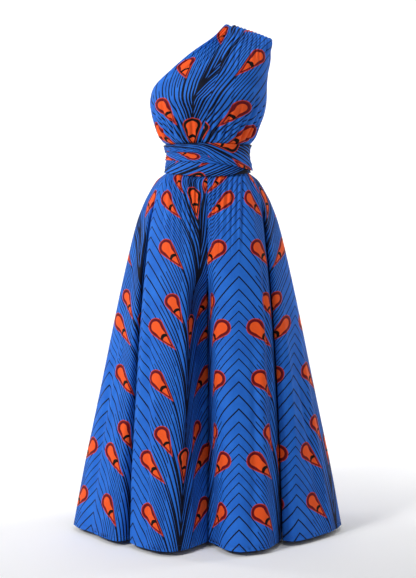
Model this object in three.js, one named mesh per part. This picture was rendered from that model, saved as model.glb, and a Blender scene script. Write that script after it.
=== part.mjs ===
// A one-shoulder, wide leg jumpsuit of printed cotton, standing open as if it were worn.
// Two long straps are gathered into the front of the waistband, cross the bust, run over
// one shoulder and down the back, and are wound round the waist. Each leg is a front and a
// back panel that flare into deep folds. Millimetres, +Z up, the front faces -Y. Left and
// right are the wearer's, so the left side is at +X. The working frame has its mid-plane
// at x = 0 and its hem at z = 0, and the finished group is moved so that its origin is
// the point where the shoulder carries it.
import * as THREE from "three";

// Driving dimensions
const CLOTH = 1.5; // wall of the legs and straps
const WRAP_CLOTH = 1.4; // wall of the wound stretches
const SEAM_HALF = 0.15; // half of the gap between two pieces at a seam
const WAIST_SEAM_Z = 1045; // legs to waistband
const BODICE_SEAM_Z = 1085; // waistband to straps
const FORK_TOP_Z = 760; // where the front and back seams start to turn under
const FORK_Z = 705; // where the two legs part
const HEM_HALF_WIDTH = 394;
const WAIST_HALF_WIDTH = 120;
const FRONT_DIP = 9; // how much lower the legs start to flare at the centre than at the sides
const LEG_GATHER = 3; // height of the gathers under the waist
const LEG_GATHER_WAVES = 6; // in each quarter of the waist
const FOLDED_FROM = 0.15; // the part of the waist, from the side, that is gathered into the folds
const STRAP_GATHER = 4.2; // height of the straps' gathers and shoulder pleats
const STRAP_GATHER_WAVES = 8; // in each strap
const STRAP_LAP = 3.4; // the left strap lies this far over the right one
const WRAP_PLEAT = 0.6; // height of the pleats in a wound stretch
const WRAP_PLEAT_WAVES = 2;

// The general figure under the waistband and the wraps: half width, and depth to the front and back
const WAIST_FORM = [
  { z: 1020, half: 120.6, front: 85, back: 80 },
  { z: 1045, half: 119, front: 82, back: 77 },
  { z: 1085, half: 112.2, front: 80, back: 74 },
  { z: 1112, half: 117.2, front: 84, back: 78 },
  { z: 1120, half: 119.2, front: 85, back: 79 },
];

// How wide the legs stand at each height
const FLARE = [
  { z: 0, half: 394 },
  { z: 171, half: 362 },
  { z: 280, half: 339 },
  { z: 420, half: 309 },
  { z: 642, half: 263 },
  { z: 802, half: 227 },
  { z: 890, half: 204 },
  { z: 945, half: 183 },
  { z: 974, half: 168 },
  { z: 998, half: 154 },
  { z: 1011, half: 144 },
  { z: 1022, half: 130 },
  { z: 1029, half: 120.3 },
  { z: 1033, half: 120 },
  { z: 1045, half: 120 },
];

// How far each leg's inner edge stands from the mid-plane
const PARTING = [
  { z: 0, gap: 3.5 },
  { z: FORK_Z, gap: 1.2 },
  { z: FORK_TOP_Z, gap: 1 },
  { z: 785, gap: 0.35 },
  { z: 810, gap: SEAM_HALF },
  { z: 840, gap: SEAM_HALF },
  { z: WAIST_SEAM_Z, gap: SEAM_HALF },
];
const HEM_INSEAM_GAP = 7; // the same at the inseam of the hem

// The gathers stand out only just under the waist
const GATHER_FADE = [
  { z: 0, share: 0 },
  { z: 860, share: 0 },
  { z: 920, share: 0.4 },
  { z: 970, share: 0.9 },
  { z: 1000, share: 1 },
  { z: 1016, share: 0.8 },
  { z: 1030, share: 0.05 },
  { z: WAIST_SEAM_Z, share: 0 },
];

// Below the fork the cloth at the inner edges sinks back between the legs
const SINK = [
  { z: 0, share: 0 },
  { z: 150, share: 0.5 },
  { z: 300, share: 0.9 },
  { z: 450, share: 1 },
  { z: 600, share: 1 },
  { z: 680, share: 0.75 },
  { z: 730, share: 0.2 },
  { z: FORK_TOP_Z, share: 0 },
  { z: WAIST_SEAM_Z, share: 0 },
];

// Rows of the leg panels, as heights
const LEG_ROWS = [WAIST_SEAM_Z - SEAM_HALF, 1031, 1022, 1010, 990, 960, 925, 885, 830, FORK_TOP_Z, 738, 720, FORK_Z, 620, 440, 210, 0];
const FORK_COLUMNS = 4;
const TUCKS_END_Z = 1000; // above this the deep folds are flat
const TUCKS_BEGIN_Z = 830; // below this they are as deep as at the hem
const COLUMN_STEP = 40; // the widest column at the hem
const COLUMN_WAIST = 0.055; // and at the waist

// The hem's folds from the side seam to the fork: how far out sideways, how far to the front
// or back, the part of the waist it hangs from (1 side seam, 0 centre), how far the
// fold swings out sideways half way down, how far it sinks back between the legs, and
// whether it is tucked into a deep fold, which opens out flat towards the waist
const FRONT_LEFT_FOLDS = [
  { across: 394, out: 0, waist: 1, swing: 0, sink: 0, tucked: 0 }, // side seam
  { across: 373, out: 46, waist: 0.98, swing: 0, sink: 0, tucked: 0 },
  { across: 320, out: 108, waist: 0.965, swing: 4, sink: 0, tucked: 0 },
  { across: 247, out: 164, waist: 0.95, swing: 14, sink: 0, tucked: 0 }, // side lobe
  { across: 214, out: 156, waist: 0.938, swing: 18, sink: 0, tucked: 1 }, // its edge laps over the front lobe
  { across: 212, out: 146, waist: 0.93, swing: 18, sink: 0, tucked: 1 },
  { across: 228, out: 112, waist: 0.91, swing: 18, sink: 0, tucked: 1 },
  { across: 226, out: 74, waist: 0.885, swing: 18, sink: 0, tucked: 1 }, // bottom of the valley
  { across: 214, out: 72, waist: 0.835, swing: 18, sink: 0, tucked: 1 },
  { across: 209, out: 112, waist: 0.81, swing: 18, sink: 0, tucked: 1 },
  { across: 207, out: 140, waist: 0.78, swing: 18, sink: 0, tucked: 1 },
  { across: 197, out: 172, waist: 0.76, swing: 18, sink: 0, tucked: 0 },
  { across: 160, out: 232, waist: 0.725, swing: 10, sink: 0, tucked: 0 },
  { across: 96, out: 259, waist: 0.64, swing: 0, sink: 0, tucked: 0 }, // front lobe
  { across: 62, out: 250, waist: 0.4, swing: -8, sink: 0, tucked: 0 },
  { across: 38, out: 226, waist: 0.2, swing: -16, sink: 4, tucked: 0 }, // where it turns in between the legs
  { across: 20, out: 192, waist: 0.08, swing: -8, sink: 34, tucked: 0 },
  { across: 0, out: 169, waist: 0, swing: 0, sink: 52, tucked: 0 }, // edge beside the other leg
];
const FRONT_RIGHT_FOLDS = [
  { across: 394, out: 0, waist: 1, swing: 0, sink: 0, tucked: 0 }, // side seam
  { across: 372, out: 40, waist: 0.985, swing: 0, sink: 0, tucked: 0 },
  { across: 330, out: 80, waist: 0.97, swing: 4, sink: 0, tucked: 0 },
  { across: 289, out: 136, waist: 0.955, swing: 8, sink: 0, tucked: 0 },
  { across: 251, out: 164, waist: 0.94, swing: 14, sink: 0, tucked: 0 }, // side lobe
  { across: 218, out: 146, waist: 0.925, swing: 18, sink: 0, tucked: 1 }, // it goes under the front lobe
  { across: 190, out: 104, waist: 0.91, swing: 18, sink: 0, tucked: 1 },
  { across: 182, out: 56, waist: 0.898, swing: 18, sink: 0, tucked: 1 }, // bottom of the valley
  { across: 169, out: 56, waist: 0.888, swing: 18, sink: 0, tucked: 1 },
  { across: 163, out: 92, waist: 0.88, swing: 18, sink: 0, tucked: 1 },
  { across: 178, out: 128, waist: 0.865, swing: 18, sink: 0, tucked: 1 },
  { across: 216, out: 160, waist: 0.835, swing: 18, sink: 0, tucked: 1 }, // edge of the front lobe
  { across: 205, out: 192, waist: 0.81, swing: 14, sink: 0, tucked: 0 },
  { across: 160, out: 236, waist: 0.77, swing: 8, sink: 0, tucked: 0 },
  { across: 104, out: 259, waist: 0.6, swing: 0, sink: 0, tucked: 0 }, // front lobe
  { across: 74, out: 249, waist: 0.36, swing: -8, sink: 0, tucked: 0 }, // where it turns in between the legs
  { across: 56, out: 237, waist: 0.24, swing: -4, sink: 26, tucked: 0 },
  { across: 26, out: 203, waist: 0.1, swing: 0, sink: 58, tucked: 0 },
  { across: 0, out: 170, waist: 0, swing: 0, sink: 56, tucked: 0 }, // edge beside the other leg
];
const BACK_LEFT_FOLDS = [
  { across: 394, out: 0, waist: 1, swing: 0, sink: 0, tucked: 0 }, // side seam
  { across: 374, out: 62, waist: 0.98, swing: 0, sink: 0, tucked: 0 },
  { across: 322, out: 124, waist: 0.95, swing: 4, sink: 0, tucked: 0 },
  { across: 262, out: 168, waist: 0.91, swing: 10, sink: 0, tucked: 0 }, // side lobe
  { across: 226, out: 158, waist: 0.87, swing: 14, sink: 0, tucked: 1 },
  { across: 217, out: 112, waist: 0.85, swing: 14, sink: 0, tucked: 1 },
  { across: 214, out: 72, waist: 0.83, swing: 14, sink: 0, tucked: 1 }, // bottom of the valley
  { across: 198, out: 70, waist: 0.81, swing: 14, sink: 0, tucked: 1 },
  { across: 188, out: 108, waist: 0.79, swing: 14, sink: 0, tucked: 1 },
  { across: 180, out: 160, waist: 0.75, swing: 12, sink: 0, tucked: 0 },
  { across: 146, out: 222, waist: 0.68, swing: 6, sink: 0, tucked: 0 },
  { across: 92, out: 246, waist: 0.52, swing: 0, sink: 0, tucked: 0 }, // back lobe
  { across: 46, out: 230, waist: 0.26, swing: -8, sink: 0, tucked: 0 },
  { across: 20, out: 196, waist: 0.1, swing: -4, sink: 30, tucked: 0 },
  { across: 0, out: 165, waist: 0, swing: 0, sink: 46, tucked: 0 }, // edge beside the other leg
];
const BACK_RIGHT_FOLDS = [
  { across: 394, out: 0, waist: 1, swing: 0, sink: 0, tucked: 0 }, // side seam
  { across: 370, out: 66, waist: 0.98, swing: 0, sink: 0, tucked: 0 },
  { across: 312, out: 132, waist: 0.94, swing: 4, sink: 0, tucked: 0 },
  { across: 248, out: 172, waist: 0.88, swing: 10, sink: 0, tucked: 0 }, // side lobe
  { across: 212, out: 150, waist: 0.84, swing: 14, sink: 0, tucked: 1 },
  { across: 205, out: 100, waist: 0.81, swing: 14, sink: 0, tucked: 1 },
  { across: 200, out: 68, waist: 0.79, swing: 14, sink: 0, tucked: 1 }, // bottom of the valley
  { across: 186, out: 66, waist: 0.77, swing: 14, sink: 0, tucked: 1 },
  { across: 176, out: 104, waist: 0.74, swing: 12, sink: 0, tucked: 1 },
  { across: 168, out: 166, waist: 0.7, swing: 8, sink: 0, tucked: 0 },
  { across: 128, out: 226, waist: 0.6, swing: 2, sink: 0, tucked: 0 },
  { across: 76, out: 244, waist: 0.42, swing: 0, sink: 0, tucked: 0 }, // back lobe
  { across: 36, out: 222, waist: 0.22, swing: -4, sink: 4, tucked: 0 },
  { across: 16, out: 190, waist: 0.08, swing: -2, sink: 34, tucked: 0 },
  { across: 0, out: 165, waist: 0, swing: 0, sink: 46, tucked: 0 }, // edge beside the other leg
];

// The bodice from the front of the waist, over the shoulder, to the back of the waist. Each row
// is one section across it, from the neck edge (n) to the arm edge (a): the edge's place, how
// hard the cloth pulls off it and how far across that pull leans, and the way the section
// faces (0 front, 90 up, 180 back). Then which part of it each strap covers, how much its
// gathers stand out, how far the left strap lies over the right one, and the strips that
// the walls have from here to the next row.
const BODICE = [
  { nx: -113, ny: 0, nz: 1085, nPull: 107.7, nLean: 0, ax: 113, ay: 0, az: 1085, aPull: 107.7, aLean: 0, face: 0, right0: 0.02, right1: 0.56, left0: 0.45, left1: 0.98, gather: 0, lap: 2.2, strips: 1 }, // waist
  { nx: -118, ny: 0, nz: 1112, nPull: 113, nLean: 0, ax: 118, ay: 0, az: 1112, aPull: 113, aLean: 0, face: 0, right0: 0.02, right1: 0.57, left0: 0.46, left1: 0.98, gather: 0, lap: 2.2, strips: 2 }, // under the edge of the wraps
  { nx: -136, ny: 0, nz: 1136, nPull: 130, nLean: 0, ax: 131, ay: 0, az: 1136, aPull: 130, aLean: 0, face: 0, right0: 0.01, right1: 0.59, left0: 0.475, left1: 0.98, gather: 1, lap: 3, strips: 1 }, // full above them
  { nx: -147, ny: 3, nz: 1166, nPull: 144, nLean: 0, ax: 142, ay: 1, az: 1166, aPull: 142, aLean: 0, face: 0, right0: 0.01, right1: 0.6, left0: 0.486, left1: 0.99, gather: 0.9, lap: STRAP_LAP, strips: 1 }, // ribs
  { nx: -158, ny: 4, nz: 1203, nPull: 165, nLean: 0, ax: 157, ay: -2, az: 1203, aPull: 160, aLean: 0, face: 0, right0: 0, right1: 0.62, left0: 0.505, left1: 1, gather: 0.6, lap: STRAP_LAP, strips: 1 }, // under the bust
  { nx: -163, ny: -4, nz: 1240, nPull: 176, nLean: 0, ax: 165, ay: -8, az: 1240, aPull: 172, aLean: 0, face: 0, right0: 0, right1: 0.63, left0: 0.516, left1: 1, gather: 0.25, lap: STRAP_LAP, strips: 1 }, // bust
  { nx: -150, ny: -42, nz: 1277, nPull: 98, nLean: 0.1, ax: 166, ay: -18, az: 1278, aPull: 142, aLean: 0, face: 0, right0: 0, right1: 0.63, left0: 0.5, left1: 1, gather: 0.1, lap: STRAP_LAP, strips: 1 },
  { nx: -103, ny: -78, nz: 1320, nPull: 58, nLean: 0.2, ax: 168, ay: -22, az: 1322, aPull: 112, aLean: 0, face: 0, right0: 0, right1: 0.61, left0: 0.45, left1: 1, gather: 0.35, lap: STRAP_LAP, strips: 1 }, // chest
  { nx: -46, ny: -82, nz: 1368, nPull: 28, nLean: 0.3, ax: 171, ay: -20, az: 1362, aPull: 72, aLean: 0.04, face: 5, right0: 0, right1: 0.59, left0: 0.36, left1: 1, gather: 0.6, lap: STRAP_LAP, strips: 2 },
  { nx: 15, ny: -58, nz: 1413, nPull: 12, nLean: 0.33, ax: 180, ay: -14, az: 1394, aPull: 34, aLean: 0.1, face: 25, right0: 0, right1: 0.57, left0: 0.26, left1: 1, gather: 0.85, lap: STRAP_LAP, strips: 1 }, // collarbone
  { nx: 43, ny: -26, nz: 1445, nPull: 6, nLean: 0.33, ax: 184, ay: -2, az: 1405, aPull: 10, aLean: 0.25, face: 55, right0: 0, right1: 0.56, left0: 0.17, left1: 1, gather: 1, lap: STRAP_LAP, strips: 1 },
  { nx: 53, ny: 8, nz: 1456, nPull: 2, nLean: 0.33, ax: 185, ay: 14, az: 1409, aPull: 3, aLean: 0.33, face: 90, right0: 0, right1: 0.56, left0: 0.14, left1: 1, gather: 1, lap: STRAP_LAP, strips: 1 }, // top of the shoulder
  { nx: 50, ny: 44, nz: 1440, nPull: 8, nLean: 0.33, ax: 183, ay: 40, az: 1396, aPull: 12, aLean: 0.25, face: 130, right0: 0, right1: 0.56, left0: 0.18, left1: 1, gather: 1, lap: STRAP_LAP, strips: 1 },
  { nx: 30, ny: 76, nz: 1398, nPull: 18, nLean: 0.33, ax: 178, ay: 56, az: 1358, aPull: 46, aLean: 0.08, face: 165, right0: 0, right1: 0.58, left0: 0.28, left1: 1, gather: 0.8, lap: STRAP_LAP, strips: 1 },
  { nx: -16, ny: 96, nz: 1345, nPull: 28, nLean: 0.3, ax: 168, ay: 62, az: 1308, aPull: 70, aLean: 0, face: 180, right0: 0, right1: 0.6, left0: 0.36, left1: 1, gather: 0.5, lap: STRAP_LAP, strips: 1 }, // shoulder blade
  { nx: -72, ny: 92, nz: 1280, nPull: 40, nLean: 0.2, ax: 161, ay: 50, az: 1250, aPull: 82, aLean: 0, face: 180, right0: 0, right1: 0.6, left0: 0.42, left1: 1, gather: 0.3, lap: STRAP_LAP, strips: 1 },
  { nx: -120, ny: 54, nz: 1208, nPull: 62, nLean: 0.06, ax: 148, ay: 26, az: 1194, aPull: 90, aLean: 0, face: 180, right0: 0.01, right1: 0.58, left0: 0.45, left1: 0.99, gather: 0.7, lap: STRAP_LAP, strips: 1 },
  { nx: -132, ny: 6, nz: 1136, nPull: 118, nLean: 0, ax: 128, ay: 4, az: 1136, aPull: 118, aLean: 0, face: 180, right0: 0.03, right1: 0.57, left0: 0.45, left1: 0.97, gather: 1, lap: 3, strips: 2 }, // full above the wraps
  { nx: -118, ny: 0, nz: 1112, nPull: 105, nLean: 0, ax: 118, ay: 0, az: 1112, aPull: 105, aLean: 0, face: 180, right0: 0.05, right1: 0.57, left0: 0.45, left1: 0.95, gather: 0, lap: 2.2, strips: 1 }, // under their edge
  { nx: -113, ny: 0, nz: 1085, nPull: 99.7, nLean: 0, ax: 113, ay: 0, az: 1085, aPull: 99.7, aLean: 0, face: 180, right0: 0.05, right1: 0.56, left0: 0.45, left1: 0.95, gather: 0, lap: 2.2, strips: 0 }, // waist
];
const STRAP_COLUMNS = 24;

// The wound stretches, by the angle round the waist (0 front, 90 left side): lower and upper edge
const LOWER_WRAP = [
  { angle: -180, low: 1024, high: 1070 },
  { angle: -90, low: 1031, high: 1072 },
  { angle: 0, low: 1021, high: 1070 },
  { angle: 90, low: 1031, high: 1068 },
  { angle: 180, low: 1024, high: 1070 },
];
const MIDDLE_WRAP = [
  { angle: -180, low: 1052, high: 1100 },
  { angle: -90, low: 1067, high: 1100 },
  { angle: -40, low: 1065, high: 1102 },
  { angle: 0, low: 1059, high: 1100 },
  { angle: 90, low: 1046, high: 1094 },
  { angle: 180, low: 1052, high: 1100 },
];
const UPPER_WRAP = [
  { angle: -180, low: 1068, high: 1112 },
  { angle: -90, low: 1090, high: 1109 },
  { angle: -30, low: 1089, high: 1114 },
  { angle: -10, low: 1087, high: 1116 },
  { angle: 15, low: 1062, high: 1114 },
  { angle: 45, low: 1048, high: 1111 },
  { angle: 90, low: 1037, high: 1111 },
  { angle: 180, low: 1068, high: 1112 },
];
const WRAP_LAYER_FIRST = 3.8; // from the figure to the middle of the first stretch's wall
const WRAP_LAYER_STEP = 3.1;
const WRAP_COLUMNS = 40;
const WRAP_ROWS = 4;
const BAND_ROWS = 1;

const INDIGO = 0x2a5fd0;
const DEEP_INDIGO = 0x2450b8;

// A smooth curve through points: a cubic between two neighbours, with the slope at each point
// taken from the points on both sides of it
function curveThrough(xs, ys) {
  const slopes = xs.map((_, i) => {
    const before = Math.max(i - 1, 0);
    const after = Math.min(i + 1, xs.length - 1);
    return (ys[after] - ys[before]) / (xs[after] - xs[before]);
  });
  return (x) => {
    let i = 0;
    while (i < xs.length - 2 && x > xs[i + 1]) i++;
    const step = xs[i + 1] - xs[i];
    const u = THREE.MathUtils.clamp((x - xs[i]) / step, 0, 1);
    const v = 1 - u;
    return (
      v * v * (1 + 2 * u) * ys[i] +
      u * u * (1 + 2 * v) * ys[i + 1] +
      u * v * step * (v * slopes[i] - u * slopes[i + 1])
    );
  };
}

function columnOf(rows, key, by) {
  return curveThrough(rows.map(by), rows.map((row) => row[key]));
}

function byHeight(rows, key) {
  return columnOf(rows, key, (row) => row.z);
}

const lerp = THREE.MathUtils.lerp;
const X = new THREE.Vector3(1, 0, 0);
const Y = new THREE.Vector3(0, 1, 0);
const Z = new THREE.Vector3(0, 0, 1);

// A ridge, 0 between two gathers and 1 on top of one
function ridge(turns) {
  return 0.5 - 0.5 * Math.cos(2 * Math.PI * turns);
}

// A cubic arch: two ends and the two points that pull it off them
function arch(start, startPull, endPull, end, t) {
  const r = 1 - t;
  return new THREE.Vector3()
    .addScaledVector(start, r * r * r)
    .addScaledVector(startPull, 3 * r * r * t)
    .addScaledVector(endPull, 3 * r * t * t)
    .addScaledVector(end, t * t * t);
}

// Cloth as a solid wall: its middle surface, moved half a thickness each way, and closed
// along its free edges. Triangles face outwards. At a seam the wall is cut square, so that
// it keeps off the piece across it: seams lists points and the direction across each seam.
function wall(points, triangles, thickness, seams = []) {
  const normals = points.map(() => new THREE.Vector3());
  const side = new THREE.Vector3();
  const other = new THREE.Vector3();
  for (const [a, b, c] of triangles) {
    side.subVectors(points[b], points[a]);
    other.subVectors(points[c], points[a]);
    side.cross(other);
    for (const corner of [a, b, c]) normals[corner].add(side);
  }
  for (const seam of seams) for (const i of seam.points) normals[i].projectOnPlane(seam.across);
  const outer = points.map((p, i) => p.clone().addScaledVector(normals[i].normalize(), thickness / 2));
  const inner = points.map((p, i) => p.clone().addScaledVector(normals[i], -thickness / 2));
  const n = points.length;
  const faces = [];
  const edges = new Set();
  for (const [a, b, c] of triangles) {
    faces.push(a, b, c, a + n, c + n, b + n);
    for (const [from, to] of [[a, b], [b, c], [c, a]]) edges.add(from * n + to);
  }
  for (const edge of edges) {
    const from = Math.floor(edge / n);
    const to = edge % n;
    if (edges.has(to * n + from)) continue;
    faces.push(to, from, from + n, to, from + n, to + n);
  }
  const geometry = new THREE.BufferGeometry();
  geometry.setAttribute("position", new THREE.Float32BufferAttribute([...outer, ...inner].flatMap((p) => p.toArray()), 3));
  geometry.setIndex(faces);
  geometry.computeVertexNormals();
  return geometry;
}

// Triangles of a grid of point numbers; a face with two equal corners is left out
function gridTriangles(grid, flip) {
  const triangles = [];
  for (let r = 0; r + 1 < grid.length; r++) {
    for (let c = 0; c + 1 < grid[r].length; c++) {
      const [a, b, d, e] = [grid[r][c], grid[r][c + 1], grid[r + 1][c], grid[r + 1][c + 1]];
      for (const face of [[a, d, b], [b, d, e]]) {
        if (new Set(face).size < 3) continue;
        triangles.push(flip ? [face[0], face[2], face[1]] : face);
      }
    }
  }
  return triangles;
}

// The figure's outline at one height, pushed out: waist 0 is the centre and 1 the side
const formHalf = byHeight(WAIST_FORM, "half");
const formFront = byHeight(WAIST_FORM, "front");
const formBack = byHeight(WAIST_FORM, "back");

function formPoint(z, angle, out) {
  const facing = Math.abs(angle) <= 90 ? -1 : 1;
  const toSide = facing < 0 ? angle / 90 : Math.sign(angle) * (2 - Math.abs(angle) / 90);
  const half = formHalf(z) + out;
  const reach = (4 / 3) * facing * ((facing < 0 ? formFront(z) : formBack(z)) + out);
  return arch(
    new THREE.Vector3(-half, 0, z),
    new THREE.Vector3(-half, reach, z),
    new THREE.Vector3(half, reach, z),
    new THREE.Vector3(half, 0, z),
    (1 + toSide) / 2,
  );
}

const flareHalf = byHeight(FLARE, "half");
const parting = byHeight(PARTING, "gap");
const gatherShare = byHeight(GATHER_FADE, "share");
const sinkShare = byHeight(SINK, "share");

// One leg panel: side is +1 for the left leg, facing -1 for the front
function legPanel(folds, side, facing) {
  const lengths = [0];
  for (let i = 1; i < folds.length; i++) {
    const step = Math.hypot(folds[i].across - folds[i - 1].across, folds[i].out - folds[i - 1].out);
    lengths.push(lengths[i - 1] + step);
  }
  const along = (key) => curveThrough(lengths, folds.map((fold) => fold[key]));
  const smoothAlong = (key) => {
    const shown = folds.filter((fold) => !fold.tucked);
    return curveThrough(shown.map((fold) => lengths[folds.indexOf(fold)]), shown.map((fold) => fold[key]));
  };
  const across = along("across");
  const out = along("out");
  const smoothAcross = smoothAlong("across");
  const smoothOut = smoothAlong("out");
  const waist = along("waist");
  const swing = along("swing");
  const sink = along("sink");

  const pointAt = (length, z) => {
    const hung = waist(length);
    const unfolded = THREE.MathUtils.smoothstep(1 - hung, FOLDED_FROM, FOLDED_FROM + 0.15);
    const flareZ = z + FRONT_DIP * (1 - hung) * THREE.MathUtils.smoothstep(z, 900, 1000);
    const spread = (flareHalf(flareZ) - WAIST_HALF_WIDTH) / (HEM_HALF_WIDTH - WAIST_HALF_WIDTH);
    const top = formPoint(WAIST_SEAM_Z, facing < 0 ? side * hung * 90 : side * (180 - hung * 90), CLOTH / 2);
    const gather = LEG_GATHER * gatherShare(flareZ) * unfolded * (ridge(LEG_GATHER_WAVES * hung) - 0.5);
    const outward = new THREE.Vector2(top.x, top.y).normalize().multiplyScalar(gather);
    const swung = side * swing(length) * Math.sin(Math.PI * spread);
    const sunk = -facing * sink(length) * sinkShare(z);
    const open = THREE.MathUtils.smoothstep(z, TUCKS_BEGIN_Z, TUCKS_END_Z);
    const hemX = side * lerp(across(length), smoothAcross(length), open);
    const hemY = facing * lerp(out(length), smoothOut(length), open);
    return new THREE.Vector3(
      lerp(top.x, hemX, spread) + swung + side * parting(z) * (1 - hung) + outward.x,
      lerp(top.y, hemY, spread) + facing * SEAM_HALF * hung + outward.y + sunk,
      z,
    );
  };

  // A column at each row of the table, and more where the hem or the waist needs them
  const places = [0];
  for (let i = 1; i < folds.length; i++) {
    const length = lengths[i] - lengths[i - 1];
    const hung = folds[i - 1].waist - folds[i].waist;
    const count = Math.ceil(Math.max(length / COLUMN_STEP, hung / COLUMN_WAIST));
    for (let c = 1; c <= count; c++) places.push(lerp(lengths[i - 1], lengths[i], c / count));
  }

  const points = [];
  const grid = LEG_ROWS.map((z) => {
    const row = places.map((length) => points.push(pointAt(length, z)) - 1);
    const edge = points[row.at(-1)];
    if (z > FORK_TOP_Z) return row;
    // the wall that runs back between the legs: it grows down the curved fork seam
    const turned = THREE.MathUtils.clamp((FORK_TOP_Z - z) / (FORK_TOP_Z - FORK_Z), 0, 1);
    const endY = edge.y * Math.sqrt(1 - turned * turned) + facing * SEAM_HALF * turned;
    const endX = side * lerp(HEM_INSEAM_GAP, parting(FORK_Z), Math.min(z / FORK_Z, 1));
    for (let c = 1; c <= FORK_COLUMNS; c++) {
      const part = c / FORK_COLUMNS;
      const inner = new THREE.Vector3(lerp(edge.x, z < FORK_Z ? endX : edge.x, part), lerp(edge.y, endY, part), z);
      row.push(turned === 0 ? row.at(-1) : points.push(inner) - 1);
    }
    return row;
  });
  for (const row of grid) while (row.length < grid.at(-1).length) row.push(row.at(-1));
  const seams = [
    { points: grid[0], across: Z },
    { points: grid.map((row) => row[0]), across: Y },
    { points: grid.filter((_, r) => LEG_ROWS[r] > FORK_TOP_Z).map((row) => row.at(-1)), across: X },
    { points: grid.filter((_, r) => LEG_ROWS[r] <= FORK_Z).map((row) => row.at(-1)), across: Y },
  ];
  return wall(points, gridTriangles(grid, side * facing > 0), CLOTH, seams);
}

// The bodice's smooth surface at a place along it (in rows of BODICE) and across it (0 to 1)
const bodiceColumn = Object.fromEntries(
  Object.keys(BODICE[0]).map((key) => [key, columnOf(BODICE, key, (row) => BODICE.indexOf(row))]),
);

function bodicePoint(row, t) {
  const at = (key) => bodiceColumn[key](row);
  const face = THREE.MathUtils.degToRad(at("face"));
  const facing = new THREE.Vector3(0, -Math.cos(face), Math.sin(face));
  const neck = new THREE.Vector3(at("nx"), at("ny"), at("nz"));
  const arm = new THREE.Vector3(at("ax"), at("ay"), at("az"));
  const neckPull = neck.clone().lerp(arm, at("nLean")).addScaledVector(facing, at("nPull"));
  const armPull = arm.clone().lerp(neck, at("aLean")).addScaledVector(facing, at("aPull"));
  return arch(neck, neckPull, armPull, arm, t);
}

function bodiceNormal(row, t) {
  const step = 0.01;
  const alongIt = bodicePoint(row + step, t).sub(bodicePoint(row - step, t));
  const acrossIt = bodicePoint(row, t + step).sub(bodicePoint(row, t - step));
  return acrossIt.cross(alongIt).normalize();
}

const strapRows = BODICE.flatMap(({ strips }, i) => Array.from({ length: strips }, (_, k) => i + k / strips));
strapRows.push(BODICE.length - 1);

// One strap: edges names its two columns of BODICE. The gathers of the under strap die
// away towards the edge of the strap that lies on it.
function strap(edges, isOver) {
  const points = [];
  const grid = strapRows.map((row) => {
    const line = [];
    for (let c = 0; c <= STRAP_COLUMNS; c++) {
      const part = c / STRAP_COLUMNS;
      const t = lerp(bodiceColumn[edges[0]](row), bodiceColumn[edges[1]](row), part);
      const shown = isOver ? 1 : THREE.MathUtils.smoothstep(bodiceColumn.left0(row) - t, 0.02, 0.1);
      const gather = STRAP_GATHER * bodiceColumn.gather(row) * shown * ridge(STRAP_GATHER_WAVES * part);
      const lift = gather + (isOver ? bodiceColumn.lap(row) : 0);
      const place = bodicePoint(row, t).addScaledVector(bodiceNormal(row, t), lift);
      if (row === 0 || row === BODICE.length - 1) place.z += SEAM_HALF;
      line.push(points.push(place) - 1);
    }
    return line;
  });
  const seams = [{ points: [...grid[0], ...grid.at(-1)], across: Z }];
  return wall(points, gridTriangles(grid, true), CLOTH, seams);
}

// A closed band round the waist: edges are functions of the angle
function band(low, high, out, rows, pleats, thickness) {
  const points = [];
  const grid = [];
  for (let r = 0; r <= rows; r++) {
    const line = [];
    for (let c = 0; c < WRAP_COLUMNS; c++) {
      const angle = (360 * c) / WRAP_COLUMNS - 180;
      const part = r / rows;
      const lift = pleats * (2 * ridge(WRAP_PLEAT_WAVES * part) - 1);
      line.push(points.push(formPoint(lerp(low(angle), high(angle), part), angle, out + lift)) - 1);
    }
    grid.push([...line, line[0]]);
  }
  const seams = [{ points: [...grid[0], ...grid.at(-1)], across: Z }];
  return wall(points, gridTriangles(grid, true), thickness, seams);
}

function wrap(rows, layer) {
  const by = (row) => row.angle;
  const out = WRAP_LAYER_FIRST + layer * WRAP_LAYER_STEP;
  return band(columnOf(rows, "low", by), columnOf(rows, "high", by), out, WRAP_ROWS, WRAP_PLEAT, WRAP_CLOTH);
}

const cotton = new THREE.MeshStandardMaterial({ color: INDIGO, roughness: 0.8, metalness: 0 });
const gatheredCotton = new THREE.MeshStandardMaterial({ color: DEEP_INDIGO, roughness: 0.85, metalness: 0 });

function piece(name, geometry, material) {
  const mesh = new THREE.Mesh(geometry, material);
  mesh.name = name;
  return mesh;
}

const garment = new THREE.Group();
garment.add(
  piece("leg_front_left", legPanel(FRONT_LEFT_FOLDS, 1, -1), cotton),
  piece("leg_front_right", legPanel(FRONT_RIGHT_FOLDS, -1, -1), cotton),
  piece("leg_back_left", legPanel(BACK_LEFT_FOLDS, 1, 1), cotton),
  piece("leg_back_right", legPanel(BACK_RIGHT_FOLDS, -1, 1), cotton),
  piece(
    "waistband",
    band(() => WAIST_SEAM_Z + SEAM_HALF, () => BODICE_SEAM_Z - SEAM_HALF, CLOTH / 2, BAND_ROWS, 0, CLOTH),
    gatheredCotton,
  ),
  piece("strap_right", strap(["right0", "right1"], false), gatheredCotton),
  piece("strap_left", strap(["left0", "left1"], true), gatheredCotton),
  piece("wrap_lower", wrap(LOWER_WRAP, 0), cotton),
  piece("wrap_middle", wrap(MIDDLE_WRAP, 1), cotton),
  piece("wrap_upper", wrap(UPPER_WRAP, 2), cotton),
);

// The origin is the underside of the straps, half way along the top of the shoulder
const SHOULDER_MIDDLE = 0.5;
const shoulderRow = BODICE.findIndex((row) => row.face === 90);
const carried = bodicePoint(shoulderRow, SHOULDER_MIDDLE);
carried.addScaledVector(bodiceNormal(shoulderRow, SHOULDER_MIDDLE), -CLOTH / 2);
garment.position.copy(carried).negate();

const jumpsuit = new THREE.Group();
jumpsuit.add(garment);

export default jumpsuit;
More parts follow.
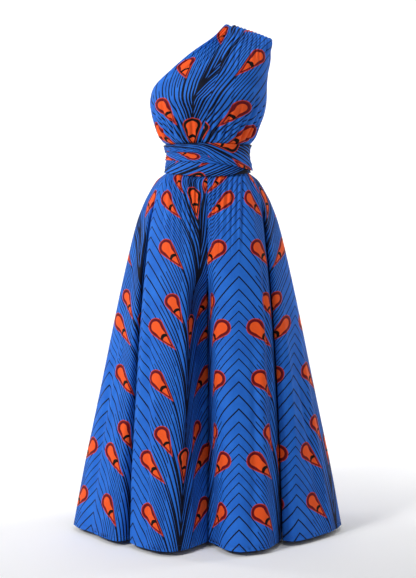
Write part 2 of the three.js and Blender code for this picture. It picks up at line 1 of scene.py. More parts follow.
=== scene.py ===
# %% [markdown]
# # A one-shoulder, wide leg jumpsuit of printed cotton
#
# The jumpsuit stands open as if it were worn. Two long straps are gathered into the front of the
# waist, cross the bust, run over the wearer's left shoulder and down the back, and are wound
# round the waist in three stretches. Each trouser leg is a front and a back panel that flare
# into deep folds. Left and right are the wearer's, so the left side is at +X, and the front
# faces -Y. Every piece of cloth here is a thin shell on the form of its solid in the model, and
# it carries the finer things that the solid leaves out: gathers, creases, the print, the
# weave and the sewing.

# %% Load the model and keep its box
import math

import bpy
import numpy as np
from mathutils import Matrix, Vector


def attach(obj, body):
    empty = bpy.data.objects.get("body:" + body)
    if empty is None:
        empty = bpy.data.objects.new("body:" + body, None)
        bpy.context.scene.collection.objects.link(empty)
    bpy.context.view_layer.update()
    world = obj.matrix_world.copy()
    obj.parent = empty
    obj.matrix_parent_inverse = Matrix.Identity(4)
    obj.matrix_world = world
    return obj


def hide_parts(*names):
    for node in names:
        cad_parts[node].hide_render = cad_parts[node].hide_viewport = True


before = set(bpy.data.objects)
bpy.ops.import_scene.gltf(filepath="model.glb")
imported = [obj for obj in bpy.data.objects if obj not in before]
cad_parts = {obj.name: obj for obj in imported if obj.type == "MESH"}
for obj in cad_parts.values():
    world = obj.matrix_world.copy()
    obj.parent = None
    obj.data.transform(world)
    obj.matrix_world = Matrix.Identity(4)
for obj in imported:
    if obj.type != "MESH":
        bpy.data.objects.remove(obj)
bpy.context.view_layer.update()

# %% [markdown]
# ## The camera, the floor and the light
#
# The photograph was taken from in front, at about the height of the waist. A long lens keeps the
# width of the hem true to the waist. The camera is nearly level, and a small shift of the lens
# frames the whole garment, as a photographer does to keep upright lines upright. Shapes are
# written in millimetres in the maker's own frame, which has the middle of the garment at x = 0
# and the hem at z = 0, and SHOULDER moves them so that the shoulder point is the origin.

# %% Sizes of the frame
MM = 0.001
SHOULDER = np.array([118.7548, 10.9466, 1433.6682])  # the shoulder point in the maker's frame


def placed(points):
    return (np.asarray(points, float) - SHOULDER) * MM


# %% Camera
CAMERA_SIDE = 1.5
CAMERA_DISTANCE = 3490
CAMERA_HEIGHT = 1036
CAMERA_TILT = 3.2  # degrees down from level
CAMERA_SHIFT = -0.0875
LENS = 75.1

camera_data = bpy.data.cameras.new("camera")
camera_data.lens = LENS
camera_data.sensor_width = 36
camera_data.shift_y = CAMERA_SHIFT
camera = bpy.data.objects.new("camera", camera_data)
camera.location = placed([CAMERA_SIDE, -CAMERA_DISTANCE, CAMERA_HEIGHT])
camera.rotation_euler = (math.radians(90 - CAMERA_TILT), 0, 0)
bpy.context.collection.objects.link(camera)
bpy.context.scene.camera = camera
print("camera at", [round(v, 3) for v in camera.location], "lens", LENS)

# %% [markdown]
# The floor is a wide pale sheet that curves up behind the garment, as in a photo studio. It is
# see-through from behind, so that the garment's back can be looked at too. Two large soft
# lights stand left and right of the camera, a third hangs above, two more light the backdrop,
# and the pale surroundings fill the shadows. The colours are shown as they are, with no film
# look over them, because the print is bright and even.

# %% Floor and backdrop
FLOOR_DROP = 14  # the floor lies this far under the hem
FLOOR_FRONT, FLOOR_HALF_WIDTH = -6000, 7000
SWEEP_START, SWEEP_RADIUS, SWEEP_TOP = 2600, 1200, 5200
SWEEP_STEPS = 16


def sweep_profile():
    points = [(FLOOR_FRONT, -FLOOR_DROP), (SWEEP_START, -FLOOR_DROP)]
    for step in range(1, SWEEP_STEPS + 1):
        turn = math.radians(90 * step / SWEEP_STEPS)
        back = SWEEP_START + SWEEP_RADIUS * math.sin(turn)
        points.append((back, -FLOOR_DROP + SWEEP_RADIUS * (1 - math.cos(turn))))
    return points + [(SWEEP_START + SWEEP_RADIUS, SWEEP_TOP)]


profile = sweep_profile()
sweep = bpy.data.meshes.new("floor")
corners = [(x, y, z) for y, z in profile for x in (-FLOOR_HALF_WIDTH, FLOOR_HALF_WIDTH)]
strips = [(i, i + 1, i + 3, i + 2) for i in range(0, 2 * len(profile) - 2, 2)]
sweep.from_pydata(placed(corners).tolist(), [], strips)
sweep.polygons.foreach_set("use_smooth", [True] * len(sweep.polygons))
floor = bpy.data.objects.new("floor", sweep)
bpy.context.collection.objects.link(floor)
paper = bpy.data.materials.new("pale backdrop paper")
paper.use_nodes = True
nodes, link = paper.node_tree.nodes, paper.node_tree.links.new
shader = nodes["Principled BSDF"]
shader.inputs["Base Color"].default_value = (0.93, 0.93, 0.935, 1)
shader.inputs["Roughness"].default_value = 0.9
clear = nodes.new("ShaderNodeBsdfTransparent")
from_behind = nodes.new("ShaderNodeNewGeometry")
one_sided = nodes.new("ShaderNodeMixShader")
link(from_behind.outputs["Backfacing"], one_sided.inputs[0])
link(shader.outputs[0], one_sided.inputs[1])
link(clear.outputs[0], one_sided.inputs[2])
link(one_sided.outputs[0], nodes["Material Output"].inputs["Surface"])
sweep.materials.append(paper)
print("floor", len(profile), "lines across")

# %% Lights
# how bright the pale surroundings are to the cloth; the camera itself sees them white
SURROUND_LIGHT = 0.155
bpy.context.scene.view_settings.view_transform = "Standard"
world = bpy.data.worlds.new("studio")
world.use_nodes = True
nodes, link = world.node_tree.nodes, world.node_tree.links.new
nodes["Background"].inputs["Color"].default_value = (1, 1, 1, 1)
rays = nodes.new("ShaderNodeLightPath")
strength = nodes.new("ShaderNodeMapRange")
strength.inputs["To Min"].default_value = SURROUND_LIGHT
link(rays.outputs["Is Camera Ray"], strength.inputs["Value"])
link(strength.outputs[0], nodes["Background"].inputs["Strength"])
bpy.context.scene.world = world

# name, place and aim in millimetres, size in metres, power in watts
SOFT_LIGHTS = [
    ("key light", (-2700, -2500, 2600), (0, 0, 750), 1.0, 115),
    ("fill light", (2500, -2900, 1900), (0, 0, 750), 2.0, 11),
    ("top light", (200, -500, 3300), (0, 0, 700), 1.6, 24),
    ("left backdrop light", (-2300, 900, 1500), (-300, 3600, 900), 1.8, 60),
    ("right backdrop light", (2300, 900, 1500), (300, 3600, 900), 1.8, 60),
]
for name, place, aim, size, power in SOFT_LIGHTS:
    light_data = bpy.data.lights.new(name, "AREA")
    light_data.shape, light_data.size, light_data.energy = "SQUARE", size, power
    light = bpy.data.objects.new(name, light_data)
    light.location = placed(place)
    away = Vector(placed(aim)) - light.location
    light.rotation_euler = away.to_track_quat("-Z", "Y").to_euler()
    bpy.context.collection.objects.link(light)
print(len(SOFT_LIGHTS), "soft lights")

# %% [markdown]
# ## Smooth forms from short tables
#
# A dress form is recorded as a few sections, and cloth runs smoothly between them. The same
# works here: each table below holds a few measured rows, and curve_through lays one smooth
# cubic curve through them. It works on whole arrays of numbers at once, so a panel with
# twenty thousand points is made in a moment.

# %% Curves and helpers
def curve_through(xs, ys):
    xs, ys = np.array(xs, float), np.array(ys, float)
    order = np.arange(len(xs))
    before, after = np.maximum(order - 1, 0), np.minimum(order + 1, len(xs) - 1)
    slopes = (ys[after] - ys[before]) / (xs[after] - xs[before])

    def curve(x):
        x = np.asarray(x, float)
        i = np.clip(np.searchsorted(xs, x, side="left") - 1, 0, len(xs) - 2)
        step = xs[i + 1] - xs[i]
        u = np.clip((x - xs[i]) / step, 0, 1)
        v = 1 - u
        bend = u * v * step * (v * slopes[i] - u * slopes[i + 1])
        return v * v * (1 + 2 * u) * ys[i] + u * u * (1 + 2 * v) * ys[i + 1] + bend

    return curve


def smoothstep(x, low, high):
    u = np.clip((np.asarray(x, float) - low) / (high - low), 0, 1)
    return u * u * (3 - 2 * u)


def lerp(a, b, share):
    return a + (b - a) * share


def unit(vectors):
    return vectors / np.maximum(np.linalg.norm(vectors, axis=-1, keepdims=True), 1e-9)


def running_sum(steps):
    """Running sums along the last axis, beginning with 0."""
    start = np.zeros(steps.shape[:-1] + (1,))
    return np.concatenate([start, np.cumsum(steps, axis=-1)], axis=-1)


def lengths_along(points):
    """How far each point is along its line, where the last axis but one runs along it."""
    return running_sum(np.linalg.norm(np.diff(points, axis=-2), axis=-1))


# %% Thickness of the cloth and gaps at its seams
CLOTH = 1.5  # the wall of the solid
SHELL = 1.1  # the wall of the cloth shown here
SEAM_HALF = 0.15
WAIST_SEAM_Z = 1045
BODICE_SEAM_Z = 1085

# %% The figure under the waistband: height, half width, depth to the front and to the back
WAIST_FORM = [
    (1020, 120.6, 85, 80),
    (1045, 119, 82, 77),
    (1085, 112.2, 80, 74),
    (1112, 117.2, 84, 78),
    (1120, 119.2, 85, 79),
]
form_z, *form_columns = zip(*WAIST_FORM)
form_half, form_front, form_back = (curve_through(form_z, column) for column in form_columns)


def form_point(z, angle, out):
    """The figure's outline at a height: angle 0 is the front, 90 the left side, 180 the back."""
    z, angle = np.broadcast_arrays(np.asarray(z, float), np.asarray(angle, float))
    front = np.abs(angle) <= 90
    to_side = np.where(front, angle / 90, np.sign(angle) * (2 - np.abs(angle) / 90))
    t = (1 + to_side) / 2
    half = form_half(z) + out
    reach = np.where(front, -(form_front(z) + out), form_back(z) + out) * 4 / 3
    x = half * (t**3 + 3 * (1 - t) * t**2 - 3 * (1 - t) ** 2 * t - (1 - t) ** 3)
    return np.stack([x, reach * 3 * (1 - t) * t, z + 0 * x], axis=-1)


waist_line = form_point(lerp(WAIST_SEAM_Z, BODICE_SEAM_Z, 0.5), np.linspace(-180, 180, 181), 0)
print("waist round the figure", round(lengths_along(waist_line)[-1]), "mm")

# %% [markdown]
# ## From a net of points to a piece of cloth
#
# Real cloth is one thin sheet. A net of points is laid on the middle of it, its creases push it
# in or out along its own normals, and a Solidify modifier gives it a wall on both sides. The
# inner wall takes the second material, because a print is paler on its wrong side. The UV map
# holds metres of flat cloth, across and along, so the print keeps its true scale however the
# cloth is gathered.

# %% Nets and meshes
def net_quads(index):
    """Four-sided faces of a net of point numbers; corners that coincide are merged or left out."""
    faces = []
    for upper, lower in zip(index[:-1], index[1:]):
        for a, b, d, e in zip(upper[:-1], upper[1:], lower[:-1], lower[1:]):
            face = list(dict.fromkeys((int(a), int(d), int(e), int(b))))
            if len(face) > 2:
                faces.append(face)
    return faces


def point_normals(points, faces, seams=()):
    """Normals at the points. At a seam they stay square to the direction across it."""
    normals = np.zeros_like(points)
    for size in (3, 4):
        group = np.array([f for f in faces if len(f) == size])
        if len(group):
            first, second, third, last = (points[group[:, k]] for k in (0, 1, 2, -1))
            square = np.cross(third - first, last - second)
            for k in range(size):
                np.add.at(normals, group[:, k], square)
    for numbers, direction in seams:
        normals[numbers] -= np.outer(normals[numbers] @ np.array(direction, float), direction)
    return unit(normals)


def cloth_piece(name, points, faces, cloth_mm, cloth_corners=None):
    """A mesh object with its wall, its smooth faces and its UV map in metres of flat cloth.

    cloth_corners gives each corner's row of cloth_mm, where that isn't its point's own number.
    """
    mesh = bpy.data.meshes.new(name)
    mesh.from_pydata(placed(points).tolist(), [], faces)
    mesh.polygons.foreach_set("use_smooth", [True] * len(mesh.polygons))
    if cloth_corners is None:
        cloth_corners = np.empty(len(mesh.loops), int)
        mesh.loops.foreach_get("vertex_index", cloth_corners)
    corners = (np.asarray(cloth_mm) * MM)[cloth_corners]
    mesh.uv_layers.new(name="cloth").data.foreach_set("uv", corners.ravel())
    uses = np.zeros(len(mesh.edges), int)
    edges = np.empty(len(mesh.loops), int)
    mesh.loops.foreach_get("edge_index", edges)
    np.add.at(uses, edges, 1)
    sharp = mesh.attributes.new("sharp_edge", "BOOLEAN", "EDGE")
    sharp.data.foreach_set("value", uses == 1)
    for material in COTTON:
        mesh.materials.append(material)
    piece = bpy.data.objects.new(name, mesh)
    bpy.context.collection.objects.link(piece)
    wall = piece.modifiers.new("wall", "SOLIDIFY")
    wall.thickness, wall.offset, wall.material_offset = SHELL * MM, 0, 1
    area = sum(p.area for p in mesh.polygons)
    print(f"{name}: {len(faces)} faces, {area:.3f} square metres of cloth")
    return piece


# %% [markdown]
# ## The print
#
# The cloth is a wax print: deep blue cotton with thin dark lines that fall like the barbs of a
# feather from a middle line to a stem, and orange drops with a dark ring and a dark bar. It
# repeats every 365 mm along the cloth and is mirrored every 160 mm across it. A printer makes
# one block and repeats it. The shader does the same: one node group draws the lines, one draws a
# drop, and the print group places three maroon drops and one black one in each repeat.

# %% A helper that writes sums as nodes
def sum_of(operation, swapped=False):
    return lambda a, b: a.nodes.math(operation, *((b, a) if swapped else (a, b)))


class Value:
    """A number in a node tree. Each sum written with it adds one Math node."""

    __add__, __mul__, __pow__ = sum_of("ADD"), sum_of("MULTIPLY"), sum_of("POWER")
    __sub__, __rsub__ = sum_of("SUBTRACT"), sum_of("SUBTRACT", swapped=True)
    __truediv__, __rtruediv__ = sum_of("DIVIDE"), sum_of("DIVIDE", swapped=True)

    def __init__(self, nodes, socket):
        self.nodes, self.socket = nodes, socket

    def __abs__(self):
        return self.nodes.math("ABSOLUTE", self)


class Nodes:
    """A node tree that is written as sums: each call adds a node and hands back its value."""

    def __init__(self, tree):
        self.tree = tree

    def put(self, value, socket):
        if isinstance(value, Value):
            self.tree.links.new(value.socket, socket)
        elif value is not None:
            socket.default_value = value

    def add(self, kind, settings=None, **values):
        """Any node, with its settings and its inputs by name, where _ stands for a space."""
        node = self.tree.nodes.new(kind)
        for title, setting in (settings or {}).items():
            setattr(node, title, setting)
        for title, value in values.items():
            self.put(value, node.inputs[title.replace("_", " ")])
        return {socket.name: Value(self, socket) for socket in node.outputs}

    def math(self, operation, *values):
        node = self.tree.nodes.new("ShaderNodeMath")
        node.operation = operation
        for value, socket in zip(values, node.inputs):
            self.put(value, socket)
        return Value(self, node.outputs[0])

    def below(self, value, edge, soft):
        """1 where value is under edge, 0 above it, with a short soft step between."""
        node = self.tree.nodes.new("ShaderNodeMapRange")
        node.interpolation_type = "SMOOTHSTEP"
        ends = (self.math("SUBTRACT", edge, soft), self.math("ADD", edge, soft))
        for value_in, socket in zip((value, *ends, 1.0, 0.0), node.inputs):
            self.put(value_in, socket)
        return Value(self, node.outputs[0])

    def colour(self, share, under, over):
        node = self.tree.nodes.new("ShaderNodeMix")
        node.data_type = "RGBA"
        for value, number in ((share, 0), (under, 6), (over, 7)):
            self.put(value, node.inputs[number])
        return Value(self, node.outputs[2])


class Sheet(Nodes):
    """A new node group with named inputs and outputs."""

    def __init__(self, name, inputs, outputs):
        super().__init__(bpy.data.node_groups.new(name, "ShaderNodeTree"))
        for title, kind, value in inputs:
            socket = self.tree.interface.new_socket(title, in_out="INPUT", socket_type=kind)
            if value is not None:
                socket.default_value = value
        for title, kind in outputs:
            self.tree.interface.new_socket(title, in_out="OUTPUT", socket_type=kind)
        self.given = self.add("NodeGroupInput")
        self.result = self.tree.nodes.new("NodeGroupOutput").inputs


FLOAT, COLOR, VECTOR = "NodeSocketFloat", "NodeSocketColor", "NodeSocketVector"

# %% Sizes and dyes of the print
HALF_REPEAT = 0.160  # from the middle line to the stem
REPEAT = 0.365  # along the cloth
LINES_IN_REPEAT = 12
INK_EDGE = 0.0004  # how soft the edge of a printed line is

BLUE = (0.010, 0.089, 0.455, 1)
BRIGHT_BLUE = (0.026, 0.193, 0.745, 1)
NAVY = (0.002, 0.003, 0.012, 1)
ORANGE = (0.84, 0.095, 0.015, 1)
MAROON = (0.13, 0.003, 0.010, 1)
RIM_RED = (0.50, 0.040, 0.022, 1)
BLACK = (0.003, 0.002, 0.003, 1)

# %% [markdown]
# A feather line starts at the middle line, goes down at half a right angle, and turns steeper
# until it runs into the stem. Its fall at a place x of the way across is a logarithm, whose
# slope grows in the same way. All lines are one curve, slid along the cloth, so the distance
# to the nearest line is found from the fraction of one number.

# %% Node group: feather lines
LINE_FALL = 0.195
LINE_CURVE = 0.82
LINE_STEP = REPEAT / LINES_IN_REPEAT
SPACING_SWING, SWING_BEGINS = 0.38, 2.2  # how unevenly the lines are spaced, in lines
LINE_HALF, NARROWER_AT_STEM, NARROWER_ELSEWHERE = 0.0022, 0.0002, 0.0007
THICK_FROM, THICK_SOFT = 0.78, 0.18  # past this share a line has its full width
BARB_HALF = 0.0010
BARBS_FROM, BARBS_TO = 0.37, 0.70  # between two lines a finer one runs between about these shares
BARB_SCATTER = 0.07
STEM_HALF = 0.0022

lines = Sheet(
    "Feather lines",
    [("Across", FLOAT, 0), ("Along", FLOAT, 0)],
    [("Lines", FLOAT), ("Fallen", FLOAT)],
)
share = lines.given["Across"] / HALF_REPEAT
left_over = 1.0 - share * LINE_CURVE
fallen = lines.given["Along"] - lines.math("LOGARITHM", left_over, math.e) * -LINE_FALL
steepness = LINE_FALL * LINE_CURVE / HALF_REPEAT / left_over
squeeze = (steepness * steepness + 1.0) ** -0.5
swing = lines.math("SINE", fallen * (2 * math.pi / REPEAT) + SWING_BEGINS)
count = fallen / LINE_STEP + swing * SPACING_SWING


def from_line(number):
    """How far a place is from the nearest line, square to it."""
    return abs(lines.math("FRACT", number) - 0.5) * LINE_STEP * squeeze


full_width = LINE_HALF - share * NARROWER_AT_STEM
thick = full_width - lines.below(share, THICK_FROM, THICK_SOFT) * NARROWER_ELSEWHERE
ink = lines.below(from_line(count), thick, INK_EDGE)
scatter = lines.math("SINE", lines.math("FLOOR", count + 0.5) * 2.4) * BARB_SCATTER
barb = lines.below(from_line(count + 0.5), BARB_HALF, INK_EDGE)
barb = barb * lines.math("GREATER_THAN", share, scatter + BARBS_FROM)
barb = barb * lines.math("LESS_THAN", share, BARBS_TO)
stem = lines.below(HALF_REPEAT - lines.given["Across"], STEM_HALF, INK_EDGE)
ink = lines.math("MAXIMUM", lines.math("MAXIMUM", ink, barb), stem)
lines.put(ink, lines.result["Lines"])
lines.put(fallen, lines.result["Fallen"])
print("feather lines:", len(lines.tree.nodes), "nodes")

# %% [markdown]
# A drop is a circle with a cone on it. The distance to that outline is known exactly, so the
# drop's rings are steps of one distance: a thin red rim, a maroon or black ring, and the
# orange heart. A curved dark bar crosses it where the cone begins to narrow.

# %% Node group: printed drop
RIM_OUTSIDE, RIM_INSIDE = 0.0014, -0.0011  # edges of the red rim, out from the drop's outline
RING_WIDTH, HEAD_RING_EXTRA = 0.0036, 0.0042
HEAD_RING_TO, HEAD_RING_SOFT = 0.30, 0.14  # the ring is wider up to about this share of the length
HEART_INSIDE = -0.0006
BAR_AT, BAR_HALF, BAR_SOFT, BAR_BOW = 0.42, 0.062, 0.006, 700.0  # in shares of the drop's length
BAR_INSIDE = -0.0012  # the bar stops this far from the drop's outline

drop = Sheet(
    "Printed drop",
    [("Color", COLOR, None), ("Across", FLOAT, 0), ("Along", FLOAT, 0),
     ("Head Across", FLOAT, 0.06), ("Head Along", FLOAT, 0), ("Lean", FLOAT, 0.7),
     ("Length", FLOAT, 0.08), ("Radius", FLOAT, 0.02), ("Ring", COLOR, None)],
    [("Color", COLOR)],
)
side = drop.given["Across"] - drop.given["Head Across"]
down = drop.given["Along"] - drop.given["Head Along"]
down = drop.math("WRAP", down, REPEAT / 2, -REPEAT / 2)
sine, cosine = (drop.math(name, drop.given["Lean"]) for name in ("SINE", "COSINE"))
length = side * sine + down * cosine
width = abs(side * cosine - down * sine)
narrowing = drop.given["Radius"] / drop.given["Length"]
straight = drop.math("SQRT", 1.0 - narrowing * narrowing)
in_head = drop.math("LESS_THAN", straight * length - narrowing * width, 0.0)
from_head = drop.math("SQRT", width * width + length * length)
from_cone = straight * width + narrowing * length
outline = in_head * from_head + (1.0 - in_head) * from_cone - drop.given["Radius"]
part = length / drop.given["Length"]
ring_width = drop.below(part, HEAD_RING_TO, HEAD_RING_SOFT) * HEAD_RING_EXTRA + RING_WIDTH
bar = drop.below(abs(part - width * width * BAR_BOW - BAR_AT), BAR_HALF, BAR_SOFT)
bar = bar * drop.below(outline, BAR_INSIDE, INK_EDGE)
painted = drop.colour(drop.below(outline, RIM_OUTSIDE, INK_EDGE), drop.given["Color"], RIM_RED)
painted = drop.colour(drop.below(outline, RIM_INSIDE, INK_EDGE), painted, drop.given["Ring"])
painted = drop.colour(drop.below(outline + ring_width, HEART_INSIDE, INK_EDGE), painted, ORANGE)
painted = drop.colour(bar, painted, BLACK)
drop.put(painted, drop.result["Color"])
print("printed drop:", len(drop.tree.nodes), "nodes")

# %% [markdown]
# The whole print folds the place across the cloth back and forth between middle line and stem,
# draws the lines, then a thick tail from the tip of each drop along the lines to the stem, and
# then the drops over them. The dye lies unevenly in the cotton, so a soft noise moves the
# blue between two shades.

# %% Node group: wax print
# across and along of the middle of the head, lean in radians, length from there to the tip,
# radius, ring
DROPS = [
    (0.058, 0.000, 0.74, 0.078, 0.0225, MAROON),
    (0.088, 0.150, 0.52, 0.066, 0.0205, MAROON),
    (0.045, 0.223, 0.80, 0.084, 0.0230, MAROON),
    (0.160, 0.212, 0.00, 0.070, 0.0215, BLACK),
]
TAIL_HALF = 0.0021
TAIL_LAP = 0.002  # a tail starts this far inside its drop's tip

print_sheet = Sheet("Wax print", [("Cloth", VECTOR, None)], [("Color", COLOR)])
cloth = print_sheet.given["Cloth"]
place = print_sheet.add("ShaderNodeSeparateXYZ", Vector=cloth)
across, along = print_sheet.math("PINGPONG", place["X"], HALF_REPEAT), place["Y"]
dye = print_sheet.add("ShaderNodeTexNoise", Vector=cloth, Scale=16, Detail=4)
ground = print_sheet.colour(dye["Fac"], BLUE, BRIGHT_BLUE)
feather = print_sheet.add("ShaderNodeGroup", {"node_tree": lines.tree}, Across=across, Along=along)
ink = feather["Lines"]
slope = LINE_FALL * LINE_CURVE / HALF_REPEAT / (1.0 - across * (LINE_CURVE / HALF_REPEAT))
square_on = (slope * slope + 1.0) ** -0.5
for head_across, head_along, lean, drop_length, *_ in DROPS[:3]:
    tip_across = head_across + drop_length * math.sin(lean)
    tip_along = head_along + drop_length * math.cos(lean)
    tip_fall = -LINE_FALL * math.log(1 - LINE_CURVE * tip_across / HALF_REPEAT)
    behind = feather["Fallen"] - (tip_along - tip_fall)
    behind = print_sheet.math("WRAP", behind, REPEAT / 2, -REPEAT / 2)
    tail = print_sheet.below(abs(behind) * square_on, TAIL_HALF, INK_EDGE)
    tail = tail * print_sheet.math("GREATER_THAN", across, tip_across - TAIL_LAP)
    ink = print_sheet.math("MAXIMUM", ink, tail)
painted = print_sheet.colour(ink, ground, NAVY)
for head_across, head_along, lean, drop_length, radius, ring in DROPS:
    painted = print_sheet.add(
        "ShaderNodeGroup", {"node_tree": drop.tree}, Color=painted, Across=across, Along=along,
        Head_Across=head_across, Head_Along=head_along, Lean=lean, Length=drop_length,
        Radius=radius, Ring=ring,
    )["Color"]
print_sheet.put(painted, print_sheet.result["Color"])
print("wax print:", len(print_sheet.tree.nodes), "nodes")

# %% [markdown]
# Plain weave is made of threads that go over and under each other, about two to a millimetre.
# Two sine waves, one across and one along, give that relief. It also has fine slubs, where a
# thread is thicker, which come from a noise that is drawn out along the thread.

# %% Node group: plain weave
THREAD = 0.0005
weave = Sheet("Plain weave", [("Cloth", VECTOR, None)], [("Height", FLOAT), ("Slub", FLOAT)])
cloth = weave.given["Cloth"]
place = weave.add("ShaderNodeSeparateXYZ", Vector=cloth)
warp, weft = (weave.math("SINE", place[axis] * (math.pi / THREAD)) for axis in "XY")
drawn_out = weave.add("ShaderNodeMapping", Vector=cloth, Scale=(1, 0.08, 1))
slub = weave.add("ShaderNodeTexNoise", Vector=drawn_out["Vector"], Scale=900, Detail=2)["Fac"]
weave.put(warp * weft * 0.5 + slub, weave.result["Height"])
weave.put(slub, weave.result["Slub"])
print("plain weave:", len(weave.tree.nodes), "nodes")


# %% Materials: right side and wrong side of the cotton
BARE_COTTON = (0.42, 0.45, 0.62, 1)


def printed_cotton(name, fading, roughness):
    """Printed cotton; fading mixes the dyes with bare cloth, as on the wrong side."""
    material = bpy.data.materials.new(name)
    material.use_nodes = True
    nodes = Nodes(material.node_tree)
    cloth = nodes.add("ShaderNodeUVMap", {"uv_map": "cloth"})["UV"]
    dyes = nodes.add("ShaderNodeGroup", {"node_tree": print_sheet.tree}, Cloth=cloth)
    threads = nodes.add("ShaderNodeGroup", {"node_tree": weave.tree}, Cloth=cloth)
    gloss = nodes.add(
        "ShaderNodeMapRange", Value=threads["Slub"], To_Min=roughness - 0.06, To_Max=roughness + 0.08
    )
    relief = nodes.add("ShaderNodeBump", Height=threads["Height"], Distance=0.0002, Strength=0.35)
    looks = {
        "Base Color": nodes.colour(fading, dyes["Color"], BARE_COTTON),
        "Roughness": gloss["Result"],
        "Normal": relief["Normal"],
        "Sheen Weight": 0.01,
        "Sheen Roughness": 0.5,
        "Specular IOR Level": 0.12,
    }
    for title, value in looks.items():
        nodes.put(value, nodes.tree.nodes["Principled BSDF"].inputs[title])
    return material


COTTON = [
    printed_cotton("printed cotton", 0.0, 0.62),
    printed_cotton("printed cotton wrong side", 0.12, 0.72),
]
print("materials:", [m.name for m in COTTON])

# %% [markdown]
# ## The trouser legs
#
# Each panel is cut as a wide flare. At the waist it is gathered, and below the hips it falls
# into deep folds. A table holds the line of the hem, point by point from the side seam to the
# fork, with the part of the waist that each point hangs from. A panel is the surface swept
# from the waist to that line. These are the same numbers as in the solid part. Only between
# the legs does the cloth go its own way: it hangs in a shallow bend, so no light shows
# through the slot where the two legs meet.

# %% Heights and widths of the legs
FORK_TOP_Z = 760
FORK_Z = 705
HEM_HALF_WIDTH = 394
WAIST_HALF_WIDTH = 120
FRONT_DIP = 9
FOLDED_FROM = 0.15
TUCKS_BEGIN_Z, TUCKS_END_Z = 830, 1000
HEM_INSEAM_GAP = 7
INNER_BEND, INNER_BEND_TOP_Z, INNER_BEND_RUN = 20, 640, 260
FIRST_BEND = 4  # above that, the cloth between the legs bends only this much

flare_half = curve_through(
    [0, 171, 280, 420, 642, 802, 890, 945, 974, 998, 1011, 1022, 1029, 1033, WAIST_SEAM_Z],
    [394, 362, 339, 309, 263, 227, 204, 183, 168, 154, 144, 130, 120.3, 120, 120],
)
parting = curve_through(
    [0, FORK_Z, FORK_TOP_Z, 785, 810, 840, WAIST_SEAM_Z],
    [3.5, 1.2, 1, 0.35] + [SEAM_HALF] * 3,
)
sink_share = curve_through(
    [0, 150, 300, 450, 600, 680, 730, FORK_TOP_Z, WAIST_SEAM_Z],
    [0, 0.5, 0.9, 1, 1, 0.75, 0.2, 0, 0],
)

# %% The hem's folds: across, out, part of the waist, swing, sink, and 1 where it is tucked away
FRONT_LEFT_FOLDS = [
    (394, 0, 1, 0, 0, 0),
    (373, 46, 0.98, 0, 0, 0),
    (320, 108, 0.965, 4, 0, 0),
    (247, 164, 0.95, 14, 0, 0),
    (214, 156, 0.938, 18, 0, 1),
    (212, 146, 0.93, 18, 0, 1),
    (228, 112, 0.91, 18, 0, 1),
    (226, 74, 0.885, 18, 0, 1),
    (214, 72, 0.835, 18, 0, 1),
    (209, 112, 0.81, 18, 0, 1),
    (207, 140, 0.78, 18, 0, 1),
    (197, 172, 0.76, 18, 0, 0),
    (160, 232, 0.725, 10, 0, 0),
    (96, 259, 0.64, 0, 0, 0),
    (62, 250, 0.4, -8, 0, 0),
    (38, 226, 0.2, -16, 4, 0),
    (20, 192, 0.08, -8, 34, 0),
    (0, 169, 0, 0, 52, 0),
]
FRONT_RIGHT_FOLDS = [
    (394, 0, 1, 0, 0, 0),
    (372, 40, 0.985, 0, 0, 0),
    (330, 80, 0.97, 4, 0, 0),
    (289, 136, 0.955, 8, 0, 0),
    (251, 164, 0.94, 14, 0, 0),
    (218, 146, 0.925, 18, 0, 1),
    (190, 104, 0.91, 18, 0, 1),
    (182, 56, 0.898, 18, 0, 1),
    (169, 56, 0.888, 18, 0, 1),
    (163, 92, 0.88, 18, 0, 1),
    (178, 128, 0.865, 18, 0, 1),
    (216, 160, 0.835, 18, 0, 1),
    (205, 192, 0.81, 14, 0, 0),
    (160, 236, 0.77, 8, 0, 0),
    (104, 259, 0.6, 0, 0, 0),
    (74, 249, 0.36, -8, 0, 0),
    (56, 237, 0.24, -4, 26, 0),
    (26, 203, 0.1, 0, 58, 0),
    (0, 170, 0, 0, 56, 0),
]
BACK_LEFT_FOLDS = [
    (394, 0, 1, 0, 0, 0),
    (374, 62, 0.98, 0, 0, 0),
    (322, 124, 0.95, 4, 0, 0),
    (262, 168, 0.91, 10, 0, 0),
    (226, 158, 0.87, 14, 0, 1),
    (217, 112, 0.85, 14, 0, 1),
    (214, 72, 0.83, 14, 0, 1),
    (198, 70, 0.81, 14, 0, 1),
    (188, 108, 0.79, 14, 0, 1),
    (180, 160, 0.75, 12, 0, 0),
    (146, 222, 0.68, 6, 0, 0),
    (92, 246, 0.52, 0, 0, 0),
    (46, 230, 0.26, -8, 0, 0),
    (20, 196, 0.1, -4, 30, 0),
    (0, 165, 0, 0, 46, 0),
]
BACK_RIGHT_FOLDS = [
    (394, 0, 1, 0, 0, 0),
    (370, 66, 0.98, 0, 0, 0),
    (312, 132, 0.94, 4, 0, 0),
    (248, 172, 0.88, 10, 0, 0),
    (212, 150, 0.84, 14, 0, 1),
    (205, 100, 0.81, 14, 0, 1),
    (200, 68, 0.79, 14, 0, 1),
    (186, 66, 0.77, 14, 0, 1),
    (176, 104, 0.74, 12, 0, 1),
    (168, 166, 0.7, 8, 0, 0),
    (128, 226, 0.6, 2, 0, 0),
    (76, 244, 0.42, 0, 0, 0),
    (36, 222, 0.22, -4, 4, 0),
    (16, 190, 0.08, -2, 34, 0),
    (0, 165, 0, 0, 46, 0),
]


